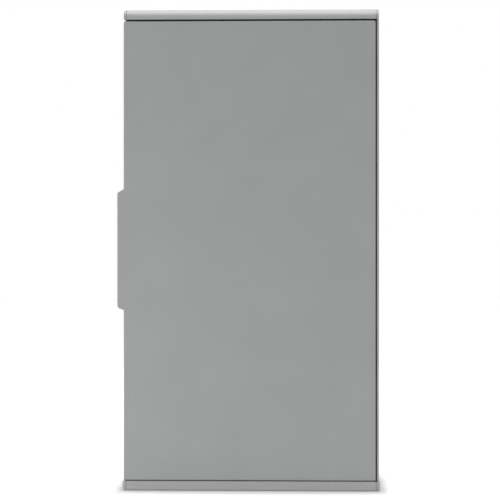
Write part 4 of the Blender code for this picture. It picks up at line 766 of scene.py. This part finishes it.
POLE_RISE, POLE_HALF_HEIGHT, POLE_END_GAP = 0.0032, 0.0009, 0.0030
POLE_PROUD, POLE_SUNK, POLE_EDGE = 0.00012, 0.0010, 0.0001
for word in LEVELS:
    low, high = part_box("magnet_catch_" + word)
    poles = Part()
    for side in (-1, 1):
        level = (low.z + high.z) / 2 + side * POLE_RISE
        poles.block((low.x + POLE_END_GAP, low.y - POLE_PROUD, level - POLE_HALF_HEIGHT),
                    (high.x - POLE_END_GAP, low.y + POLE_SUNK, level + POLE_HALF_HEIGHT), POLE_EDGE)
    poles.piece("catch_poles_" + word, "case", "zinc_steel")


# Screws with a cross recess, in place of the plain ones.

SUNK_SCREW = [
    (0.0, 0.0), (0.0026, 0.0), (0.0028, -0.00015), (0.0028, -0.00035), (0.0015, -0.0017), (0.0015, -0.0057),
    (0.0012, -0.0060), (0.0, -0.0060),
]
CAM_SCREW = [
    (0.0, 0.0), (0.0030, 0.0), (0.0039, -0.0003), (0.0044, -0.0010), (0.0044, -0.0020), (0.0015, -0.0020),
    (0.0015, -0.0080), (0.0012, -0.0083), (0.0, -0.0083),
]
SUNK_CROSS = (0.0014, 0.0005, 0.0011)  # length of an arm, its width, and the depth
CAM_CROSS = (0.0022, 0.0008, 0.0013)
CROSS_EDGE_SHARE = 0.2  # edge of an arm in parts of its width


def cross_screw(node, axis, body, profile, cross):
    """A turned screw, its head towards axis. The profile runs back from the head's face: radius, height."""
    low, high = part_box(node)
    out = Vector(axis)
    tip = (low + high) / 2 + out * (high - low).dot(out) / 2
    turn = Matrix.Translation(tip) @ turn_to(out).to_4x4()
    arm, wide, deep = cross
    edge = wide * CROSS_EDGE_SHARE
    blades = [Part().block((-x, -y, -deep), (x, y, deep), edge, 1).placed(turn)
              for x, y in ((arm, wide / 2), (wide / 2, arm))]
    screw = Part().turned(profile, tip, out, 36).without(blades)
    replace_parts(screw.piece("cross_" + node, body, "zinc_steel", smooth=40), node)


for level in LEVELS:
    for side in SIDES:
        cross_screw(f"back_screw_{level}_{side}", BEHIND, "case", SUNK_SCREW, SUNK_CROSS)
cross_screw("cam_screw", RIGHT, "lock_cylinder", CAM_SCREW, CAM_CROSS)


# Mains inlet: nickel blades, the marks on the rocker, ribs on the fuse drawer.

INLET_BORDER, INLET_RIB, SOCKET_TALL, SOCKET_DEEP = 0.0025, 0.0025, 0.0165, 0.0160
BLADE_HALF_WIDTH, BLADE_HALF_HEIGHT = 0.0010, 0.0020
BLADE_PLACES = ((-0.0070, -0.00175), (0.0, 0.0035), (0.0070, -0.00175))  # y and z from the socket's middle
INLET_LOW, INLET_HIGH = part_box("mains_inlet")
INLET_MIDDLE = (INLET_LOW.y + INLET_HIGH.y) / 2
SOCKET_MIDDLE = INLET_LOW.z + INLET_BORDER + INLET_RIB + SOCKET_TALL / 2


def inlet_part(spot):
    """The look of a face of the inlet: a blade's, or None for its own."""
    if spot.x < INLET_HIGH.x - SOCKET_DEEP + HAIR:
        return None
    for y, z in BLADE_PLACES:
        beside = within(spot.y, INLET_MIDDLE + y, BLADE_HALF_WIDTH)
        if beside and within(spot.z, SOCKET_MIDDLE + z, BLADE_HALF_HEIGHT):
            return "blade"
    return None


finish_faces("mains_inlet", inlet_part, {"blade": NICKEL})


def facets(node, direction, least):
    """Middle and normal of each flat part of a node that faces that way, largest first.

    It faces that way where the cosine between the two is above least.
    """
    found = {}
    for face in NODES[node].data.polygons:
        if face.normal.dot(Vector(direction)) > least:
            key = tuple(round(value, 2) for value in face.normal)
            area, spot = found.get(key, (0.0, Vector()))
            found[key] = (area + face.area, spot + face.center * face.area)
    ranked = sorted(found.items(), key=lambda item: -item[1][0])
    return [(spot / area, Vector(key).normalized()) for key, (area, spot) in ranked]


MARK_SUNK, MARK_PROUD = -0.0001, 0.00012
OFF_INNER, OFF_OUTER = 0.0018, 0.0025
ON_HALF_WIDTH, ON_HALF_LENGTH, ON_EDGE = 0.00035, 0.0024, 0.00005
OFF_RING = [(OFF_INNER, MARK_SUNK), (OFF_INNER, MARK_PROUD), (OFF_OUTER, MARK_PROUD), (OFF_OUTER, MARK_SUNK)]
pressed, proud = sorted(facets("rocker_switch", RIGHT, 0.85)[:2], key=lambda facet: facet[0].x)
marks = Part()
marks.turned(OFF_RING, *pressed, 40)
spot, normal = proud
across = Vector(BEHIND)
turn = Matrix((across, normal.cross(across), normal)).transposed().to_4x4()
bar = Part().block((-ON_HALF_WIDTH, -ON_HALF_LENGTH, MARK_SUNK),
                   (ON_HALF_WIDTH, ON_HALF_LENGTH, MARK_PROUD), ON_EDGE)
marks.take(bar.placed(Matrix.Translation(spot) @ turn).shapes)
marks.piece("rocker_marks", "rocker", "switch_red", INK)

GRIP_PITCH, GRIP_HALF_LENGTH, GRIP_HALF_WIDTH = 0.0014, 0.0045, 0.0004
GRIP_SUNK, GRIP_PROUD, GRIP_EDGE = 0.0003, 0.0004, 0.00025
low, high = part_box("fuse_drawer")
grip = Part()
for rib in (-1, 0, 1):
    level = (low.z + high.z) / 2 + rib * GRIP_PITCH
    grip.block((high.x - GRIP_SUNK, INLET_MIDDLE - GRIP_HALF_LENGTH, level - GRIP_HALF_WIDTH),
               (high.x + GRIP_PROUD, INLET_MIDDLE + GRIP_HALF_LENGTH, level + GRIP_HALF_WIDTH), GRIP_EDGE, 3)
grip.piece("drawer_grip", "fuse_drawer", "black_plastic")


# Studio: a pale floor, soft lamps, and the camera in front of the door.

# The floor's glow is painted light: held back near the foot, it darkens the floor there beyond its real
# shadow, longer before and behind the part than beside it.
LIFTS = ((0.40, 0.0, 0.040), (0.20, 0.10, 1.60))  # glow of the floor, and how far off it starts and is whole
HASTE = {"X": 3.0, "Y": 0.85}  # the glow grows faster beside the part, and slower before and behind it
PAPER = 0.90
FLOOR_HALF, FLOOR_LEVEL = 8.0, -0.0002
SKY_LEVEL = 0.485


def join_math(tree, operation, *values):
    """Output of a Math node on numbers or on other nodes' outputs."""
    made = tree.nodes.new("ShaderNodeMath")
    made.operation = operation
    for socket, value in zip(made.inputs, values):
        if isinstance(value, bpy.types.NodeSocket):
            tree.links.new(value, socket)
        else:
            socket.default_value = value
    return made.outputs[0]


def floor_look(foot):
    """Pale matt floor. To the camera and mirrors it is lifted to white by a glow of painted light; near the
    foot the camera's glow is held back, so the shadow at the foot stays and is deepened and shaped by the
    missing glow.
    """
    material = bpy.data.materials.new("floor_look")
    material.use_nodes = True
    tree = material.node_tree
    tree.nodes.clear()
    paper = tree.nodes.new("ShaderNodeBsdfDiffuse")
    paper.inputs["Color"].default_value = (PAPER, PAPER, PAPER, 1.0)
    lift = tree.nodes.new("ShaderNodeEmission")
    path = tree.nodes.new("ShaderNodeLightPath")
    spot = tree.nodes.new("ShaderNodeSeparateXYZ")
    tree.links.new(tree.nodes.new("ShaderNodeTexCoord").outputs["Object"], spot.inputs[0])
    reach = []
    for letter, half in (("X", foot.x), ("Y", foot.y)):
        side = join_math(tree, "ABSOLUTE", spot.outputs[letter])
        past = join_math(tree, "MAXIMUM", join_math(tree, "SUBTRACT", side, half), 0.0)
        reach.append(join_math(tree, "MULTIPLY", past, HASTE[letter]))
    away = join_math(tree, "MAXIMUM", *reach)
    glow_seen = 0.0
    for glow, start, whole in LIFTS:
        level = tree.nodes.new("ShaderNodeMapRange")
        level.interpolation_type = "SMOOTHSTEP"
        level.inputs["From Min"].default_value, level.inputs["From Max"].default_value = start, whole
        level.inputs["To Max"].default_value = glow
        tree.links.new(away, level.inputs["Value"])
        glow_seen = join_math(tree, "ADD", level.outputs[0], glow_seen)
    seen = join_math(tree, "MULTIPLY", path.outputs["Is Camera Ray"], glow_seen)
    glow_mirrored = sum(glow for glow, _, _ in LIFTS)
    mirrored = join_math(tree, "MULTIPLY", path.outputs["Is Glossy Ray"], glow_mirrored)
    tree.links.new(join_math(tree, "ADD", seen, mirrored), lift.inputs["Strength"])
    both = tree.nodes.new("ShaderNodeAddShader")
    tree.links.new(paper.outputs[0], both.inputs[0])
    tree.links.new(lift.outputs[0], both.inputs[1])
    out = tree.nodes.new("ShaderNodeOutputMaterial")
    tree.links.new(both.outputs[0], out.inputs["Surface"])
    return material


def studio_world(level):
    """Even light of that level, and plain white where the camera, mirrors or glass look past the part."""
    world = bpy.data.worlds.new("studio")
    bpy.context.scene.world = world
    world.use_nodes = True
    tree = world.node_tree
    sky = tree.nodes["Background"]
    sky.inputs["Color"].default_value = (1.0, 1.0, 1.0, 1.0)
    path = tree.nodes.new("ShaderNodeLightPath")
    seen = path.outputs["Is Camera Ray"]
    for name in ("Is Glossy Ray", "Is Transmission Ray"):
        seen = join_math(tree, "MAXIMUM", seen, path.outputs[name])
    span = tree.nodes.new("ShaderNodeMapRange")
    span.inputs["To Min"].default_value = level
    span.inputs["To Max"].default_value = 1.0
    tree.links.new(seen, span.inputs["Value"])
    tree.links.new(span.outputs[0], sky.inputs["Strength"])


def look_at(holder, place, aim):
    """Puts a lamp or camera somewhere and points it at aim."""
    holder.location = place
    holder.rotation_euler = (Vector(aim) - Vector(place)).to_track_quat("-Z", "Y").to_euler()


def softbox(name, place, aim, width, height, power, mirrored=False):
    """A rectangular lamp. Polished metal shows it only if it is mirrored, and otherwise the plain white."""
    lamp = bpy.data.lights.new(name, "AREA")
    lamp.shape = "RECTANGLE"
    lamp.size, lamp.size_y = width, height
    lamp.energy = power
    holder = linked(name, lamp)
    look_at(holder, place, aim)
    holder.visible_glossy = mirrored


low, high = CAD_BOX
CENTRE = Vector((0.0, (low.y + high.y) / 2, (low.z + high.z) / 2))
DOOR_FOOT = Vector((0.0, low.y, 0.10))

corners = [(x * FLOOR_HALF, y * FLOOR_HALF, FLOOR_LEVEL) for x, y in ((-1, -1), (1, -1), (1, 1), (-1, 1))]
floor = linked("studio_floor", bpy.data.meshes.new("studio_floor"))
floor.data.from_pydata(corners, [], [(0, 1, 2, 3)])
floor.data.materials.append(floor_look(high))

studio_world(SKY_LEVEL)
softbox("key_low_left", (-0.75, -0.62, 0.15), DOOR_FOOT, 0.50, 0.30, 1.9)
softbox("key_far_left", (-2.20, -1.60, 0.60), CENTRE, 1.4, 1.4, 5.0)
softbox("fill_left", (-1.70, 0.0, 0.60), CENTRE, 1.0, 1.4, 5.0)
softbox("fill_right", (1.70, 0.0, 0.60), CENTRE, 1.0, 1.4, 3.0)
softbox("fill_back", (0.20, 2.0, 0.80), CENTRE, 1.4, 1.4, 5.0)
softbox("overhead", (0.10, 0.10, 1.90), CENTRE, 1.8, 1.4, 16.0, mirrored=True)

DISTANCE = 2.2
YAW = math.radians(1.8)
AIM_RIGHT, AIM_UP = -0.0011, -0.00036  # from the middle of the front
camera = bpy.data.cameras.new("camera")
camera.sensor_width = 36.0
camera.lens = 132.0
camera.clip_start, camera.clip_end = 0.05, 50.0
view = linked("camera", camera)
aim = Vector((AIM_RIGHT, low.y, CENTRE.z + AIM_UP))
look_at(view, aim + DISTANCE * Vector((math.sin(YAW), -math.cos(YAW), 0.0)), aim)
bpy.context.scene.camera = view
bpy.context.scene.view_settings.view_transform = "Standard"
